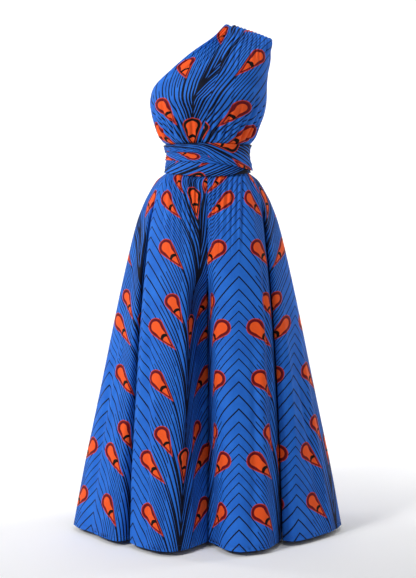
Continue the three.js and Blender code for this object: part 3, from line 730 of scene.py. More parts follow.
# %% A leg panel's smooth surface
class LegForm:
    """The smooth surface of one leg panel: point(length along the hem, height)."""

    def __init__(self, folds, side, facing):
        self.side, self.facing = side, facing
        table = np.array(folds, float)
        self.lengths = lengths_along(table[:, :2])
        shown = table[:, 5] == 0
        names = ("across", "out", "waist", "swing", "sink")
        self.along = {n: curve_through(self.lengths, table[:, k]) for k, n in enumerate(names)}
        open_at = self.lengths[shown]
        self.open = {n: curve_through(open_at, table[shown, k]) for k, n in enumerate(names[:2])}
        self.tucked = lambda s: np.interp(s, self.lengths, table[:, 5])

    def point(self, length, z):
        length, z = np.broadcast_arrays(np.asarray(length, float), np.asarray(z, float))
        side, facing = self.side, self.facing
        hung = self.along["waist"](length)
        flare_z = z + FRONT_DIP * (1 - hung) * smoothstep(z, 900, 1000)
        spread = (flare_half(flare_z) - WAIST_HALF_WIDTH) / (HEM_HALF_WIDTH - WAIST_HALF_WIDTH)
        angle = side * hung * 90 if facing < 0 else side * (180 - hung * 90)
        top = form_point(WAIST_SEAM_Z, angle, CLOTH / 2)
        opened = smoothstep(z, TUCKS_BEGIN_Z, TUCKS_END_Z)
        hem_x = side * lerp(self.along["across"](length), self.open["across"](length), opened)
        hem_y = facing * lerp(self.along["out"](length), self.open["out"](length), opened)
        swung = side * self.along["swing"](length) * np.sin(np.pi * spread)
        sunk = -facing * self.along["sink"](length) * sink_share(z)
        x = lerp(top[..., 0], hem_x, spread) + swung + side * parting(z) * (1 - hung)
        y = lerp(top[..., 1], hem_y, spread) + facing * SEAM_HALF * hung + sunk
        return np.stack([x, y, z], axis=-1)


# %% [markdown]
# The gathers are not regular on the real garment: some are full and run down over the hip, and
# some are small and stop at once. So they are placed one by one. Each row of the table is one
# ridge or trough, with its part of the waist, its width, its height and how far down it
# runs. Longer, softer creases in the skirt of each leg are placed in the same way, by their
# distance from the side seam along the hem.

# %% Gathers and creases of the legs
# part of the waist (0 centre, 1 side), half width, height, the height above the hem where it ends
FRONT_GATHERS = [
    (0.045, 0.016, 1.8, 930), (0.085, 0.012, -2.2, 905), (0.125, 0.018, 2.4, 890),
    (0.175, 0.013, -2.6, 915), (0.215, 0.016, 2, 945), (0.262, 0.012, -2.4, 880), (0.305, 0.02, 2.7, 900),
    (0.362, 0.013, -2.2, 940), (0.4, 0.015, 1.9, 925), (0.445, 0.013, -2.7, 895),
    (0.492, 0.018, 2.3, 935), (0.54, 0.012, -2.1, 950), (0.585, 0.018, 2.9, 880),
    (0.64, 0.014, -2.8, 900), (0.69, 0.018, 2.2, 930), (0.745, 0.014, -2.5, 910), (0.79, 0.014, 1.8, 945),
    (0.83, 0.012, -1.8, 955),
]
BACK_GATHERS = [
    (0.05, 0.018, 2.1, 915), (0.105, 0.014, -2.3, 900), (0.15, 0.016, 1.9, 940),
    (0.205, 0.013, -2.6, 890), (0.255, 0.02, 2.6, 905), (0.312, 0.014, -2.1, 935),
    (0.355, 0.016, 2.2, 925), (0.41, 0.013, -2.8, 885), (0.462, 0.019, 2.4, 900),
    (0.52, 0.013, -2.2, 945), (0.566, 0.017, 2, 930), (0.622, 0.015, -2.6, 895), (0.675, 0.019, 2.5, 915),
    (0.735, 0.014, -2, 940), (0.785, 0.016, 1.8, 950), (0.83, 0.012, -1.7, 960),
]
# share of the hem from the side seam, half width in millimetres, height, top and bottom of the crease
FRONT_LEFT_CREASES = [
    (0.1, 17, 2.2, 640, -80), (0.175, 12, -2, 520, 60), (0.26, 16, 1.8, 700, 120),
    (0.655, 15, -2.6, 860, 150), (0.71, 20, 2.6, 820, -60), (0.77, 13, -2, 620, -60),
    (0.845, 16, 1.6, 700, 240), (0.9, 11, -1.8, 480, 20),
]
FRONT_RIGHT_CREASES = [
    (0.09, 15, -2, 560, 80), (0.15, 18, 2.4, 680, -60), (0.235, 12, -1.6, 460, -40),
    (0.665, 17, 2.6, 840, 60), (0.72, 13, -2.4, 700, -60), (0.775, 18, 2, 560, -80),
    (0.84, 12, -2.2, 760, 200), (0.9, 12, 1.8, 420, -40),
]
BACK_LEFT_CREASES = [
    (0.08, 15, 2.2, 600, -60), (0.17, 18, -2.4, 760, 80), (0.25, 12, 1.6, 480, -40),
    (0.62, 16, -2.2, 820, 40), (0.7, 19, 2.6, 700, -80), (0.78, 13, -2, 560, 60),
    (0.87, 15, 1.8, 660, -60),
]
BACK_RIGHT_CREASES = [
    (0.09, 17, -2.2, 660, 20), (0.16, 13, 2, 520, -60), (0.24, 16, -1.8, 740, 160),
    (0.6, 18, 2.6, 780, -60), (0.68, 13, -2.2, 640, -40), (0.76, 17, 2.2, 840, 120),
    (0.86, 12, -1.6, 500, -60),
]
GATHER_HEIGHT, CREASE_HEIGHT = 1.25, 2.2  # factors on the heights in the tables
SEAM_ROLL = 1.3  # how far the cloth turns in at a seam
SEAM_ROLL_WIDTH = 4.0
SEAM_ROLL_ENDS_Z = FORK_Z - 40  # the middle seam rolls in down to here
WANDER, WANDER_RUN = 9, 170  # how far a crease wanders sideways, and how fast
gather_top = curve_through([0, 1000, 1016, 1028, WAIST_SEAM_Z], [1, 1, 0.8, 0.05, 0])


def hump(away, width):
    return np.exp(-((away / width) ** 2))


def leg_relief(form, length, z, gathers, creases):
    hung = form.along["waist"](length)
    unfolded = smoothstep(1 - hung, FOLDED_FROM, FOLDED_FROM + 0.12)
    lift = np.zeros(np.broadcast(length, z).shape)
    for place, width, height, ends in gathers:
        run = smoothstep(z, ends - 130, ends + 50) * gather_top(z) * unfolded
        lift = lift + GATHER_HEIGHT * height * hump(hung - place, width) * run
    for place, width, height, top, bottom in creases:
        wander = WANDER * np.sin(z / WANDER_RUN + 40 * place)
        away = length - place * form.lengths[-1] + wander
        run = smoothstep(top - z, 0, 200) * smoothstep(z, bottom, bottom + 140)
        lift = lift + CREASE_HEIGHT * height * hump(away, width) * run
    return lift


# %% [markdown]
# The print must lie on the legs as it does on real cloth. Its place across is the length of
# cloth from the middle line, added up row by row, so gathered and folded cloth uses more of
# it. The depth of a hidden fold is a guess, so a factor sets how much cloth it takes up, and
# with it which part of the print shows beside the fold.

# %% Rows, columns and the cloth's own measure
LEG_ROWS = np.concatenate([
    [WAIST_SEAM_Z - SEAM_HALF], np.arange(1041, 1000, -4), np.arange(1000, 900, -6.2),
    np.arange(896, 0, -9.0), [5, 2, 0],
])
LEG_COLUMNS = 178
EDGE_LINES = np.array([1.0, 2.0, 3.4])  # distances of the extra lines from each edge
GATHERS_WEIGH = 0.75  # how strongly the gathers draw the lines together
FORK_COLUMNS = 12
HEAD_Z = 462  # the height of a maroon drop's head
fold_take_up = curve_through([0, 250, 500, 1045], [0.58, 0.88, 1.2, 1.2])
gather_take_up = curve_through([0, 820, 960, 1010, 1045], [0, 0, 0.5, 1, 1])
FULLNESS_AT_CENTRE, FULLNESS_AT_SIDE = 1.28, 2.0


def leg_columns(form):
    """Even along the hem, but closer at the gathers, and with a few lines at each edge."""
    fine = np.linspace(0, form.lengths[-1], 2001)
    gathered = np.abs(np.gradient(form.along["waist"](fine)))
    load = np.gradient(fine) / form.lengths[-1] + GATHERS_WEIGH * gathered
    share = running_sum(load[1:])
    even = np.linspace(0, share[-1], LEG_COLUMNS - 2 * len(EDGE_LINES))
    places = np.interp(even, share, fine)
    return np.unique(np.concatenate([places, EDGE_LINES, form.lengths[-1] - EDGE_LINES]))


def leg_cloth_measure(form, base, s, middle_line):
    hung = form.along["waist"](s)
    z = base[:, :, 2]
    steps = np.linalg.norm(np.diff(base, axis=1), axis=2)
    half = lambda values: (values[..., 1:] + values[..., :-1]) / 2
    tucked = half(form.tucked(s))[None, :]
    fullness = lerp(FULLNESS_AT_CENTRE, FULLNESS_AT_SIDE, half(hung))[None, :]
    factor = lerp(1.0, fold_take_up(half(z)), tucked)
    factor = factor * lerp(1.0, fullness, gather_take_up(half(z)))
    across = running_sum(steps * factor)
    middle = np.array([np.interp(middle_line, s, row) for row in across])
    across -= middle[:, None]
    anchor = form.point(np.full(len(LEG_ROWS), middle_line), LEG_ROWS)
    along = lengths_along(anchor)
    along -= np.interp(-HEAD_Z, -LEG_ROWS, along)
    return across, along


# %% The leg panels
def leg_panel(name, folds, side, facing, gathers, creases, middle_line):
    form = LegForm(folds, side, facing)
    s = leg_columns(form)
    length, height = np.meshgrid(s, LEG_ROWS)
    base = form.point(length, height)
    across, along = leg_cloth_measure(form, base, s, form.lengths[-1] * middle_line)
    far_edge = np.where(height > SEAM_ROLL_ENDS_Z, form.lengths[-1] - length, np.inf)
    edge = np.minimum(length, far_edge)
    lift = leg_relief(form, length, height, gathers, creases)
    lift = lift - SEAM_ROLL * (1 - smoothstep(edge, 0, SEAM_ROLL_WIDTH))
    measure = np.stack([across, np.broadcast_to(along[:, None], across.shape)], -1)
    points, cloth, raised = [*base.reshape(-1, 3)], [*measure.reshape(-1, 2)], [*lift.ravel()]
    index = np.arange(base[:, :, 0].size).reshape(len(LEG_ROWS), len(s))
    rows = []
    for r, z in enumerate(LEG_ROWS):
        row, rim = list(index[r]), base[r, -1]
        if z < FORK_TOP_Z:
            turned = min(max((FORK_TOP_Z - z) / (FORK_TOP_Z - FORK_Z), 0), 1)
            end_y = rim[1] * math.sqrt(1 - turned * turned) + facing * SEAM_HALF * turned
            end_x = side * lerp(HEM_INSEAM_GAP, float(parting(FORK_Z)), min(z / FORK_Z, 1))
            bend = INNER_BEND * smoothstep(INNER_BEND_TOP_Z - z, 0, INNER_BEND_RUN)
            bend += FIRST_BEND * smoothstep(FORK_TOP_Z - z, -12, 8)
            for c in range(1, FORK_COLUMNS + 1):
                part = c / FORK_COLUMNS
                x = lerp(rim[0], end_x if z < FORK_Z else rim[0], part)
                x -= facing * float(bend) * math.sin(math.pi * part)
                place = np.array([x, lerp(rim[1], end_y, part), z])
                row.append(len(points))
                points.append(place)
                raised.append(0)
                cloth.append((across[r, -1] + abs(place[1] - rim[1]), along[r]))
        rows.append(row + [row[-1]] * (len(s) + FORK_COLUMNS - len(row)))
    faces = net_quads(rows)
    if side * facing < 0:
        faces = [f[::-1] for f in faces]
    points = np.array(points)
    seams = [(index[0], (0, 0, 1)), ([row[0] for row in rows], (0, 1, 0)),
             ([row[-1] for row, z in zip(rows, LEG_ROWS) if z > FORK_TOP_Z], (1, 0, 0))]
    normals = point_normals(points, faces, seams)
    points = points + normals * np.array(raised)[:, None]
    piece = cloth_piece(name, points, faces, np.array(cloth))
    return piece, points, normals, rows


LEG_PANELS = {
    "leg_front_left": (FRONT_LEFT_FOLDS, 1, -1, FRONT_GATHERS, FRONT_LEFT_CREASES, 0.828),
    "leg_front_right": (FRONT_RIGHT_FOLDS, -1, -1, FRONT_GATHERS, FRONT_RIGHT_CREASES, 0.660),
    "leg_back_left": (BACK_LEFT_FOLDS, 1, 1, BACK_GATHERS, BACK_LEFT_CREASES, 0.80),
    "leg_back_right": (BACK_RIGHT_FOLDS, -1, 1, BACK_GATHERS, BACK_RIGHT_CREASES, 0.83),
}
legs = {name: leg_panel(name + "_cloth", *values) for name, values in LEG_PANELS.items()}

# %% [markdown]
# ## The waistband
#
# A plain band joins the legs to the straps. The wound stretches hide it, but it holds the
# garment together, so it is there.

# %% The waistband
BAND_ROWS, BAND_COLUMNS = 6, 120


def closed_band(name, low, high, out, relief, rows, columns, cloth_of):
    """A band round the waist. It closes on itself, while its UV map runs on from end to end."""
    angle, part = np.meshgrid(np.linspace(-180, 180, columns + 1), np.linspace(0, 1, rows + 1))
    z = lerp(low(angle), high(angle), part)
    points = form_point(z, angle, out + relief(angle, part))
    cloth = cloth_of(angle, part, points).reshape(-1, 2)
    faces = [f[::-1] for f in net_quads(np.arange(len(cloth)).reshape(rows + 1, columns + 1))]
    number = np.arange(rows + 1)[:, None] * columns + np.arange(columns + 1) % columns
    closed = [number.ravel()[f].tolist() for f in faces]
    points = points[:, :-1].reshape(-1, 3)
    return cloth_piece(name, points, closed, cloth, np.concatenate(faces))


def plain_measure(angle, part, points):
    return np.stack([points[..., 2] - 1000, lengths_along(points)], axis=-1)


def level(height):
    return lambda angle: height + 0 * angle


waistband = closed_band(
    "waistband_cloth", level(WAIST_SEAM_Z + SEAM_HALF), level(BODICE_SEAM_Z - SEAM_HALF),
    CLOTH / 2, lambda angle, part: 0 * angle, BAND_ROWS, BAND_COLUMNS, plain_measure,
)

# %% [markdown]
# ## The straps
#
# Both straps are long lengths of cloth, gathered where they are sewn to the waist and where
# they lie on the shoulder, and spread over the bust. The left one lies over the right one.
# The bodice as a whole is one smooth form: each row below is a section across it, from the
# neck edge to the arm edge, drawn as a cubic arch. Then each strap takes its part of every
# section.

# %% Sections of the bodice, from the front waist over the shoulder to the back waist
# n is the neck edge and a the arm edge: place, pull of the arch and its lean. Then come the
# way the section faces, both edges of each strap, the fullness and how far the left strap laps
BODICE_KEYS = (
    "nx", "ny", "nz", "nPull", "nLean", "ax", "ay", "az", "aPull", "aLean", "face",
    "right0", "right1", "left0", "left1", "gather", "lap",
)
BODICE = [
    (-113, 0, 1085, 107.7, 0, 113, 0, 1085, 107.7, 0, 0, 0.02, 0.56, 0.45, 0.98, 0, 2.2),
    (-118, 0, 1112, 113, 0, 118, 0, 1112, 113, 0, 0, 0.02, 0.57, 0.46, 0.98, 0.45, 2.2),
    (-136, 0, 1136, 130, 0, 131, 0, 1136, 130, 0, 0, 0.01, 0.59, 0.475, 0.98, 1, 3),
    (-147, 3, 1166, 144, 0, 142, 1, 1166, 142, 0, 0, 0.01, 0.6, 0.486, 0.99, 0.9, 3.4),
    (-158, 4, 1203, 165, 0, 157, -2, 1203, 160, 0, 0, 0, 0.62, 0.505, 1, 0.6, 3.4),
    (-163, -4, 1240, 176, 0, 165, -8, 1240, 172, 0, 0, 0, 0.63, 0.516, 1, 0.25, 3.4),
    (-150, -42, 1277, 98, 0.1, 166, -18, 1278, 142, 0, 0, 0, 0.63, 0.5, 1, 0.1, 3.4),
    (-103, -78, 1320, 58, 0.2, 168, -22, 1322, 112, 0, 0, 0, 0.61, 0.45, 1, 0.35, 3.4),
    (-46, -82, 1368, 28, 0.3, 171, -20, 1362, 72, 0.04, 5, 0, 0.59, 0.36, 1, 0.6, 3.4),
    (15, -58, 1413, 12, 0.33, 180, -14, 1394, 34, 0.1, 25, 0, 0.57, 0.26, 1, 0.7, 3.4),
    (43, -26, 1445, 6, 0.33, 184, -2, 1405, 10, 0.25, 55, 0, 0.56, 0.17, 1, 0.5, 3.4),
    (53, 8, 1456, 2, 0.33, 185, 14, 1409, 3, 0.33, 90, 0, 0.56, 0.14, 1, 0.4, 3.4),
    (50, 44, 1440, 8, 0.33, 183, 40, 1396, 12, 0.25, 130, 0, 0.56, 0.18, 1, 0.5, 3.4),
    (30, 76, 1398, 18, 0.33, 178, 56, 1358, 46, 0.08, 165, 0, 0.58, 0.28, 1, 0.8, 3.4),
    (-16, 96, 1345, 28, 0.3, 168, 62, 1308, 70, 0, 180, 0, 0.6, 0.36, 1, 0.5, 3.4),
    (-72, 92, 1280, 40, 0.2, 161, 50, 1250, 82, 0, 180, 0, 0.6, 0.42, 1, 0.3, 3.4),
    (-120, 54, 1208, 62, 0.06, 148, 26, 1194, 90, 0, 180, 0.01, 0.58, 0.45, 0.99, 0.7, 3.4),
    (-132, 6, 1136, 118, 0, 128, 4, 1136, 118, 0, 180, 0.03, 0.57, 0.45, 0.97, 1, 3),
    (-118, 0, 1112, 105, 0, 118, 0, 1112, 105, 0, 180, 0.05, 0.57, 0.45, 0.95, 0.45, 2.2),
    (-113, 0, 1085, 99.7, 0, 113, 0, 1085, 99.7, 0, 180, 0.05, 0.56, 0.45, 0.95, 0, 2.2),
]
LAST_ROW = len(BODICE) - 1
bodice = {key: curve_through(range(len(BODICE)), column) for key, column in zip(BODICE_KEYS, zip(*BODICE))}


# %% The bodice's smooth surface
def bodice_point(row, t):
    row, t = np.broadcast_arrays(np.asarray(row, float), np.asarray(t, float))
    face = np.radians(bodice["face"](row))
    facing = np.stack([0 * face, -np.cos(face), np.sin(face)], axis=-1)
    neck = np.stack([bodice[k](row) for k in ("nx", "ny", "nz")], axis=-1)
    arm = np.stack([bodice[k](row) for k in ("ax", "ay", "az")], axis=-1)
    at = lambda key: bodice[key](row)[..., None]
    neck_pull = lerp(neck, arm, at("nLean")) + facing * at("nPull")
    arm_pull = lerp(arm, neck, at("aLean")) + facing * at("aPull")
    t = t[..., None]
    r = 1 - t
    return neck * r**3 + neck_pull * 3 * r * r * t + arm_pull * 3 * r * t * t + arm * t**3


def bodice_normal(row, t, step=0.01):
    along_it = bodice_point(row + step, t) - bodice_point(row - step, t)
    across_it = bodice_point(row, t + step) - bodice_point(row, t - step)
    return unit(np.cross(across_it, along_it))


# %% [markdown]
# The fullness of the gathered cloth stands a few millimetres off the form, and pleats cut
# into it as troughs. Each trough is listed: where it is across the strap at its
# lower and at its upper end, how wide and how deep it is, and between which sections of the
# bodice it runs. Some run from the waist to the bust, some down from the shoulder, and the
# back has its own.

# %% Pleats of the straps
FULLNESS = 6.5
EDGE_RISE = 0.05  # the fullness rises over this share of the width at both edges
PLEAT_WANDER = 0.006
# across at the low end, across at the high end, half width, depth, first and last section
RIGHT_PLEATS = [
    (0.05, 0.09, 0.018, 0.9, 1.6, 4.4), (0.15, 0.18, 0.022, 1, 1.6, 5.4),
    (0.245, 0.27, 0.017, 0.8, 1.6, 3.9), (0.33, 0.34, 0.024, 1, 1.6, 5.9),
    (0.425, 0.43, 0.018, 0.9, 1.6, 4.6), (0.515, 0.5, 0.022, 1, 1.6, 5),
    (0.6, 0.57, 0.016, 0.8, 1.6, 3.8), (0.685, 0.645, 0.022, 1, 1.6, 5.6),
    (0.775, 0.73, 0.018, 0.8, 1.6, 4.2), (0.42, 0.78, 0.012, 1, 4.3, 5.3),
    (0.58, 0.8, 0.011, 1, 4.9, 5.7), (0.86, 0.66, 0.01, 0.9, 4.6, 5.4),
    (0.05, 0.07, 0.02, 0.8, 7.2, 13.8), (0.13, 0.15, 0.022, 1, 6.4, 14.6),
    (0.22, 0.23, 0.02, 0.9, 7.8, 13.2), (0.3, 0.31, 0.024, 1, 6, 15), (0.4, 0.39, 0.02, 0.9, 7, 13.6),
    (0.48, 0.47, 0.018, 1, 6.8, 14.2), (0.57, 0.56, 0.022, 0.9, 8.2, 13),
    (0.66, 0.66, 0.02, 0.8, 9, 12.6), (0.76, 0.76, 0.02, 0.7, 9.4, 12.4), (0.1, 0.07, 0.02, 1, 15, 17.4),
    (0.21, 0.19, 0.024, 0.9, 14.4, 17.4), (0.31, 0.3, 0.018, 1, 15.4, 17.4),
    (0.41, 0.42, 0.022, 0.9, 14.8, 17.4), (0.52, 0.53, 0.02, 1, 15.6, 17.4),
    (0.63, 0.64, 0.022, 0.8, 15.2, 17.4),
]
LEFT_PLEATS = [
    (0.1, 0.08, 0.018, 0.9, 1.6, 5), (0.2, 0.17, 0.022, 1, 1.6, 4.2), (0.29, 0.27, 0.018, 1, 1.6, 5.8),
    (0.39, 0.38, 0.022, 0.8, 1.6, 4.6), (0.48, 0.49, 0.018, 1, 1.6, 3.8),
    (0.575, 0.6, 0.024, 1, 1.6, 5.4), (0.68, 0.71, 0.018, 0.9, 1.6, 4.4),
    (0.775, 0.81, 0.022, 1, 1.6, 5.2), (0.88, 0.91, 0.018, 0.8, 1.6, 4), (0.1, 0.09, 0.018, 1, 5.8, 14.6),
    (0.19, 0.18, 0.022, 0.9, 7, 13.8), (0.27, 0.27, 0.018, 1, 6.2, 15), (0.36, 0.35, 0.024, 0.8, 8, 13.2),
    (0.44, 0.44, 0.018, 1, 6.6, 14), (0.53, 0.53, 0.02, 0.9, 7.6, 13.6),
    (0.61, 0.62, 0.022, 1, 7.2, 14.8), (0.7, 0.7, 0.018, 0.8, 8.4, 13), (0.79, 0.79, 0.022, 1, 8, 13.6),
    (0.89, 0.89, 0.02, 0.8, 9, 12.8), (0.08, 0.1, 0.02, 0.9, 15.2, 17.4),
    (0.19, 0.2, 0.018, 1, 14.6, 17.4), (0.3, 0.32, 0.024, 0.9, 15.6, 17.4),
    (0.42, 0.43, 0.02, 1, 14.8, 17.4), (0.54, 0.54, 0.018, 0.8, 15.4, 17.4),
    (0.66, 0.65, 0.022, 1, 14.6, 17.4), (0.78, 0.76, 0.02, 0.9, 15.2, 17.4),
    (0.9, 0.87, 0.02, 0.8, 15.8, 17.4),
]
# a twist pulls the under strap in beside the lap: section, across, along and across size, depth
HOLLOWS = [
    (5.3, 0.74, 0.42, 0.075, 5.5), (5.75, 0.62, 0.3, 0.045, 3.2), (4.75, 0.8, 0.4, 0.045, 3),
]


def strap_lift(row, part, t, pleats, is_over):
    full = FULLNESS * bodice["gather"](row)
    cut = np.zeros(row.shape)
    for low, high, width, depth, first, last in pleats:
        place = lerp(low, high, np.clip((row - first) / (last - first), 0, 1))
        place = place + PLEAT_WANDER * np.sin(2.1 * row + 30 * low)
        run = smoothstep(row, first - 0.3, first + 0.5) * smoothstep(last + 0.3 - row, 0, 0.9)
        cut = np.maximum(cut, depth * hump(part - place, width) * run)
    lift = full * (1 - cut) * smoothstep(part, 0, EDGE_RISE) * smoothstep(1 - part, 0, EDGE_RISE)
    if is_over:
        return lift + bodice["lap"](row)
    return lift * smoothstep(bodice["left0"](row) - t, 0.02, 0.1)


# %% The strap pieces
STRAP_COLUMNS = 132
STRAP_STEP = 0.118
STRAP_ROWS = np.unique(np.concatenate([np.arange(0, LAST_ROW, STRAP_STEP), [LAST_ROW]]))


def strap_piece(name, first, last, pleats, is_over, across_from, across_to, known):
    row, part = np.meshgrid(STRAP_ROWS, np.linspace(0, 1, STRAP_COLUMNS + 1), indexing="ij")
    t = lerp(bodice[first](row), bodice[last](row), part)
    normal = bodice_normal(row, t)
    points = bodice_point(row, t) + normal * strap_lift(row, part, t, pleats, is_over)[..., None]
    if not is_over:
        for section, place, long, wide, depth in HOLLOWS:
            dent = depth * hump(row - section, long) * hump(part - place, wide)
            points = points - normal * dent[..., None]
    points[[0, -1], :, 2] += SEAM_HALF
    middle = bodice_point(STRAP_ROWS, lerp(bodice[first](STRAP_ROWS), bodice[last](STRAP_ROWS), 0.5))
    length = lengths_along(middle)
    section, place_along = known
    along = place_along + np.interp(section, STRAP_ROWS, length) - length
    across = lerp(across_from, across_to, part)
    cloth = np.stack([across, np.broadcast_to(along[:, None], part.shape)], axis=-1)
    faces = [f[::-1] for f in net_quads(np.arange(part.size).reshape(part.shape))]
    piece = cloth_piece(name, points.reshape(-1, 3), faces, cloth.reshape(-1, 2))
    print(name, "is", round(length[-1]), "mm long on the body")
    return piece, points, normal


strap_right = strap_piece("strap_right_cloth", "right0", "right1", RIGHT_PLEATS, False, 18, 230, (4.3, 158))
strap_left = strap_piece("strap_left_cloth", "left0", "left1", LEFT_PLEATS, True, 172, 322, (4.1, 158))

# %% [markdown]
# ## The wound stretches
#
# The ends of the straps are folded into narrow bands and wound round the waist. Three stretches
# show. The upper one crosses the others in front and goes down to the wearer's left. The
# folded cloth has fine pleats along it, which drift up and down as they go round.

# %% Edges of the wound stretches: angle, low and high
LOWER_WRAP = [
    (-180, 1024, 1070), (-90, 1031, 1072), (0, 1021, 1070), (90, 1031, 1068), (180, 1024, 1070),
]
MIDDLE_WRAP = [
    (-180, 1052, 1100), (-90, 1067, 1100), (-40, 1065, 1102), (0, 1059, 1100), (90, 1046, 1094),
    (180, 1052, 1100),
]
UPPER_WRAP = [
    (-180, 1068, 1112), (-90, 1090, 1109), (-30, 1089, 1114), (-10, 1087, 1116), (15, 1062, 1114),
    (45, 1048, 1111), (90, 1037, 1111), (180, 1068, 1112),
]
WRAP_ROWS, WRAP_COLUMNS = 26, 250
WRAP_LAYER_FIRST, WRAP_LAYER_STEP = 3.8, 3.1
# across at angle 0, drift of it with the angle, half width, depth
LOWER_PLEATS = [
    (0.16, 0.05, 0.05, 0.8), (0.36, -0.06, 0.06, 1), (0.58, 0.08, 0.05, 0.9), (0.8, -0.04, 0.05, 0.7),
]
MIDDLE_PLEATS = [
    (0.12, -0.05, 0.05, 0.7), (0.3, 0.07, 0.06, 1), (0.52, -0.04, 0.05, 0.8), (0.7, 0.06, 0.06, 1),
    (0.88, -0.03, 0.04, 0.6),
]
UPPER_PLEATS = [
    (0.14, 0.04, 0.05, 0.9), (0.31, -0.05, 0.045, 0.7), (0.47, 0.05, 0.055, 1), (0.64, -0.04, 0.045, 0.8),
    (0.82, 0.03, 0.05, 0.9),
]
PLEAT_HEIGHT = 0.8


def wrap_piece(name, edges, layer, pleats, across_from, across_to, slant, along_from):
    angles, lows, highs = zip(*edges)
    low, high = curve_through(angles, lows), curve_through(angles, highs)

    def relief(angle, part):
        lift = np.full(part.shape, PLEAT_HEIGHT)
        for place, drift, width, depth in pleats:
            centre = place + drift * np.sin(np.radians(angle) + 9 * place)
            lift = lift - 2 * PLEAT_HEIGHT * depth * hump(part - centre, width)
        return lift

    def measure(angle, part, points):
        round_it = lengths_along(points).mean(axis=0)
        along = along_from - round_it + np.interp(0, angle[0], round_it)
        across = lerp(across_from, across_to, part) + slant * angle
        return np.stack([across, along + 0 * part], axis=-1)

    out = WRAP_LAYER_FIRST + layer * WRAP_LAYER_STEP
    return closed_band(name, low, high, out, relief, WRAP_ROWS, WRAP_COLUMNS, measure)


wrap_lower = wrap_piece("wrap_lower_cloth", LOWER_WRAP, 0, LOWER_PLEATS, 168, 216, -0.22, 186)
wrap_middle = wrap_piece("wrap_middle_cloth", MIDDLE_WRAP, 1, MIDDLE_PLEATS, 56, 140, 0, 108)
wrap_upper = wrap_piece("wrap_upper_cloth", UPPER_WRAP, 2, UPPER_PLEATS, 104, 160, 0, 285)

# %% [markdown]
# ## The sewing
#
# The hems are turned up and stitched by machine, and so are the long edges of the straps. A
# stitch is a short thread that dips into the cloth at both ends. Geometry Nodes are made
# for this: one low thread shape is repeated along a path at an even step, and turned to
# follow it. The path runs on the outer face of the cloth, so no stitch hangs in the air.

# %% Thread material
THREAD_BLUES = (0.012, 0.045, 0.25, 1), (0.03, 0.10, 0.42, 1)
thread = bpy.data.materials.new("blue sewing thread")
thread.use_nodes = True
nodes = Nodes(thread.node_tree)
place = nodes.add("ShaderNodeTexCoord")["Object"]
diagonal = {"bands_direction": "DIAGONAL"}
twist = nodes.add("ShaderNodeTexWave", diagonal, Vector=place, Scale=900)["Fac"]
gloss = nodes.add("ShaderNodeMapRange", Value=twist, To_Min=0.45, To_Max=0.65)["Result"]
shader = thread.node_tree.nodes["Principled BSDF"]
nodes.put(nodes.colour(twist, *THREAD_BLUES), shader.inputs["Base Color"])
nodes.put(gloss, shader.inputs["Roughness"])

# %% Geometry Nodes: a row of stitches along a path
STITCH = {"Step": 3.2 * MM, "Length": 2.5 * MM, "Radius": 0.32 * MM}


def stitch_tree():
    tree = bpy.data.node_groups.new("Row of stitches", "GeometryNodeTree")
    tree.interface.new_socket("Path", in_out="INPUT", socket_type="NodeSocketGeometry")
    for title, value in STITCH.items():
        tree.interface.new_socket(title, in_out="INPUT", socket_type=FLOAT).default_value = value
    tree.interface.new_socket("Thread", in_out="INPUT", socket_type="NodeSocketMaterial")
    tree.interface.new_socket("Stitches", in_out="OUTPUT", socket_type="NodeSocketGeometry")
    nodes = Nodes(tree)
    given = nodes.add("NodeGroupInput")
    path = nodes.add("GeometryNodeMeshToCurve", Mesh=given["Path"])["Curve"]
    by_length = {"mode": "LENGTH"}
    even = nodes.add("GeometryNodeResampleCurve", by_length, Curve=path, Length=given["Step"])
    shape = nodes.add("GeometryNodeMeshUVSphere", Segments=6, Rings=6, Radius=1)["Mesh"]
    thick, long = given["Radius"], given["Length"] * 0.5
    size = nodes.add("ShaderNodeCombineXYZ", X=thick, Y=thick, Z=long)["Vector"]
    ahead = nodes.add("GeometryNodeInputTangent")["Tangent"]
    turned = nodes.add("FunctionNodeAlignEulerToVector", {"axis": "Z"}, Vector=ahead)["Rotation"]
    laid = nodes.add(
        "GeometryNodeInstanceOnPoints", Points=even["Curve"], Instance=shape, Rotation=turned, Scale=size
    )["Instances"]
    real = nodes.add("GeometryNodeRealizeInstances", Geometry=laid)["Geometry"]
    smooth = nodes.add("GeometryNodeSetShadeSmooth", Geometry=real)["Geometry"]
    done = nodes.add("GeometryNodeSetMaterial", Geometry=smooth, Material=given["Thread"])
    nodes.put(done["Geometry"], tree.nodes.new("NodeGroupOutput").inputs["Stitches"])
    return tree


STITCHES = stitch_tree()


def stitch_row(name, points):
    """Stitches along a line of points, as a plain mesh."""
    path = bpy.data.meshes.new(name)
    path.from_pydata(placed(points).tolist(), [(i, i + 1) for i in range(len(points) - 1)], [])
    holder = bpy.data.objects.new(name, path)
    bpy.context.collection.objects.link(holder)
    row = holder.modifiers.new("stitches", "NODES")
    row.node_group = STITCHES
    for socket in STITCHES.interface.items_tree:
        if socket.name in STITCH:
            row[socket.identifier] = STITCH[socket.name]
        elif socket.name == "Thread":
            row[socket.identifier] = thread
    depsgraph = bpy.context.evaluated_depsgraph_get()
    mesh = bpy.data.meshes.new_from_object(holder.evaluated_get(depsgraph), depsgraph=depsgraph)
    holder.modifiers.remove(row)
    holder.data = mesh
    bpy.data.meshes.remove(path)
    mesh.name = name
    print(f"{name}: {len(mesh.polygons)} faces")
    return holder


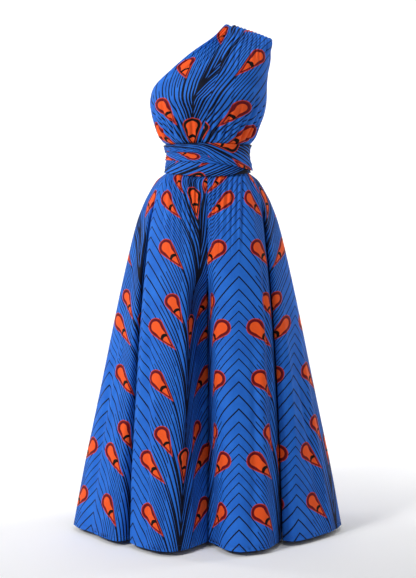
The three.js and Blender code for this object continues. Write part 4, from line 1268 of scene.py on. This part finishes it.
# %% Where the stitches run
HEM_TURN = 14  # the hem's stitches lie this far above its edge
ON_CLOTH = SHELL / 2 + 0.12  # from the middle of the cloth to the middle of a thread
stitches = []
for name, (piece, points, normals, rows) in legs.items():
    r = int(np.argmin(np.abs(LEG_ROWS - HEM_TURN)))
    line = [points[i] + normals[i] * ON_CLOTH for i in dict.fromkeys(rows[r])]
    stitches.append(stitch_row(name + "_hem_stitches", line))

EDGE_COLUMN, FREE_ROWS = 3, 18  # the straps' stitches run here, and leave out rows at both ends
for name, strap, column in (
    ("neck", strap_right, EDGE_COLUMN), ("armhole", strap_left, STRAP_COLUMNS - EDGE_COLUMN)
):
    points, normal = (net[FREE_ROWS:-FREE_ROWS, column] for net in strap[1:])
    stitches.append(stitch_row(name + "_edge_stitches", points + normal * ON_CLOTH))

# %% [markdown]
# ## Handing the pieces to the model
#
# Each piece of cloth stands for one solid of the model and moves with its only body. The table
# also lists how large each sheet of cloth was cut, because gathered and folded cloth looks
# smaller than it is.

# %% Pieces, their solids and their cut
# solid, flat width and length in metres, how it is held, flat area where it isn't a rectangle
CUT = {
    "leg_front_left": (legs["leg_front_left"][0], (0.85, 1.08), "gathered", 0.62),
    "leg_front_right": (legs["leg_front_right"][0], (0.85, 1.08), "gathered", 0.62),
    "leg_back_left": (legs["leg_back_left"][0], (0.80, 1.08), "gathered", 0.58),
    "leg_back_right": (legs["leg_back_right"][0], (0.80, 1.08), "gathered", 0.58),
    "waistband": (waistband, (0.66, 0.04), "stretched", None),
    "strap_right": (strap_right[0], (0.22, 0.90), "gathered", None),
    "strap_left": (strap_left[0], (0.20, 0.86), "gathered", None),
    "wrap_lower": (wrap_lower, (0.045, 0.68), "folded", None),
    "wrap_middle": (wrap_middle, (0.045, 0.69), "folded", None),
    "wrap_upper": (wrap_upper, (0.045, 0.70), "folded", None),
}
for node, (piece, flat, held, area) in CUT.items():
    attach(piece, "root")
    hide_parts(node)
for piece in stitches:
    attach(piece, "root")
print(len(CUT), "pieces of cloth and", len(stitches), "rows of stitches")
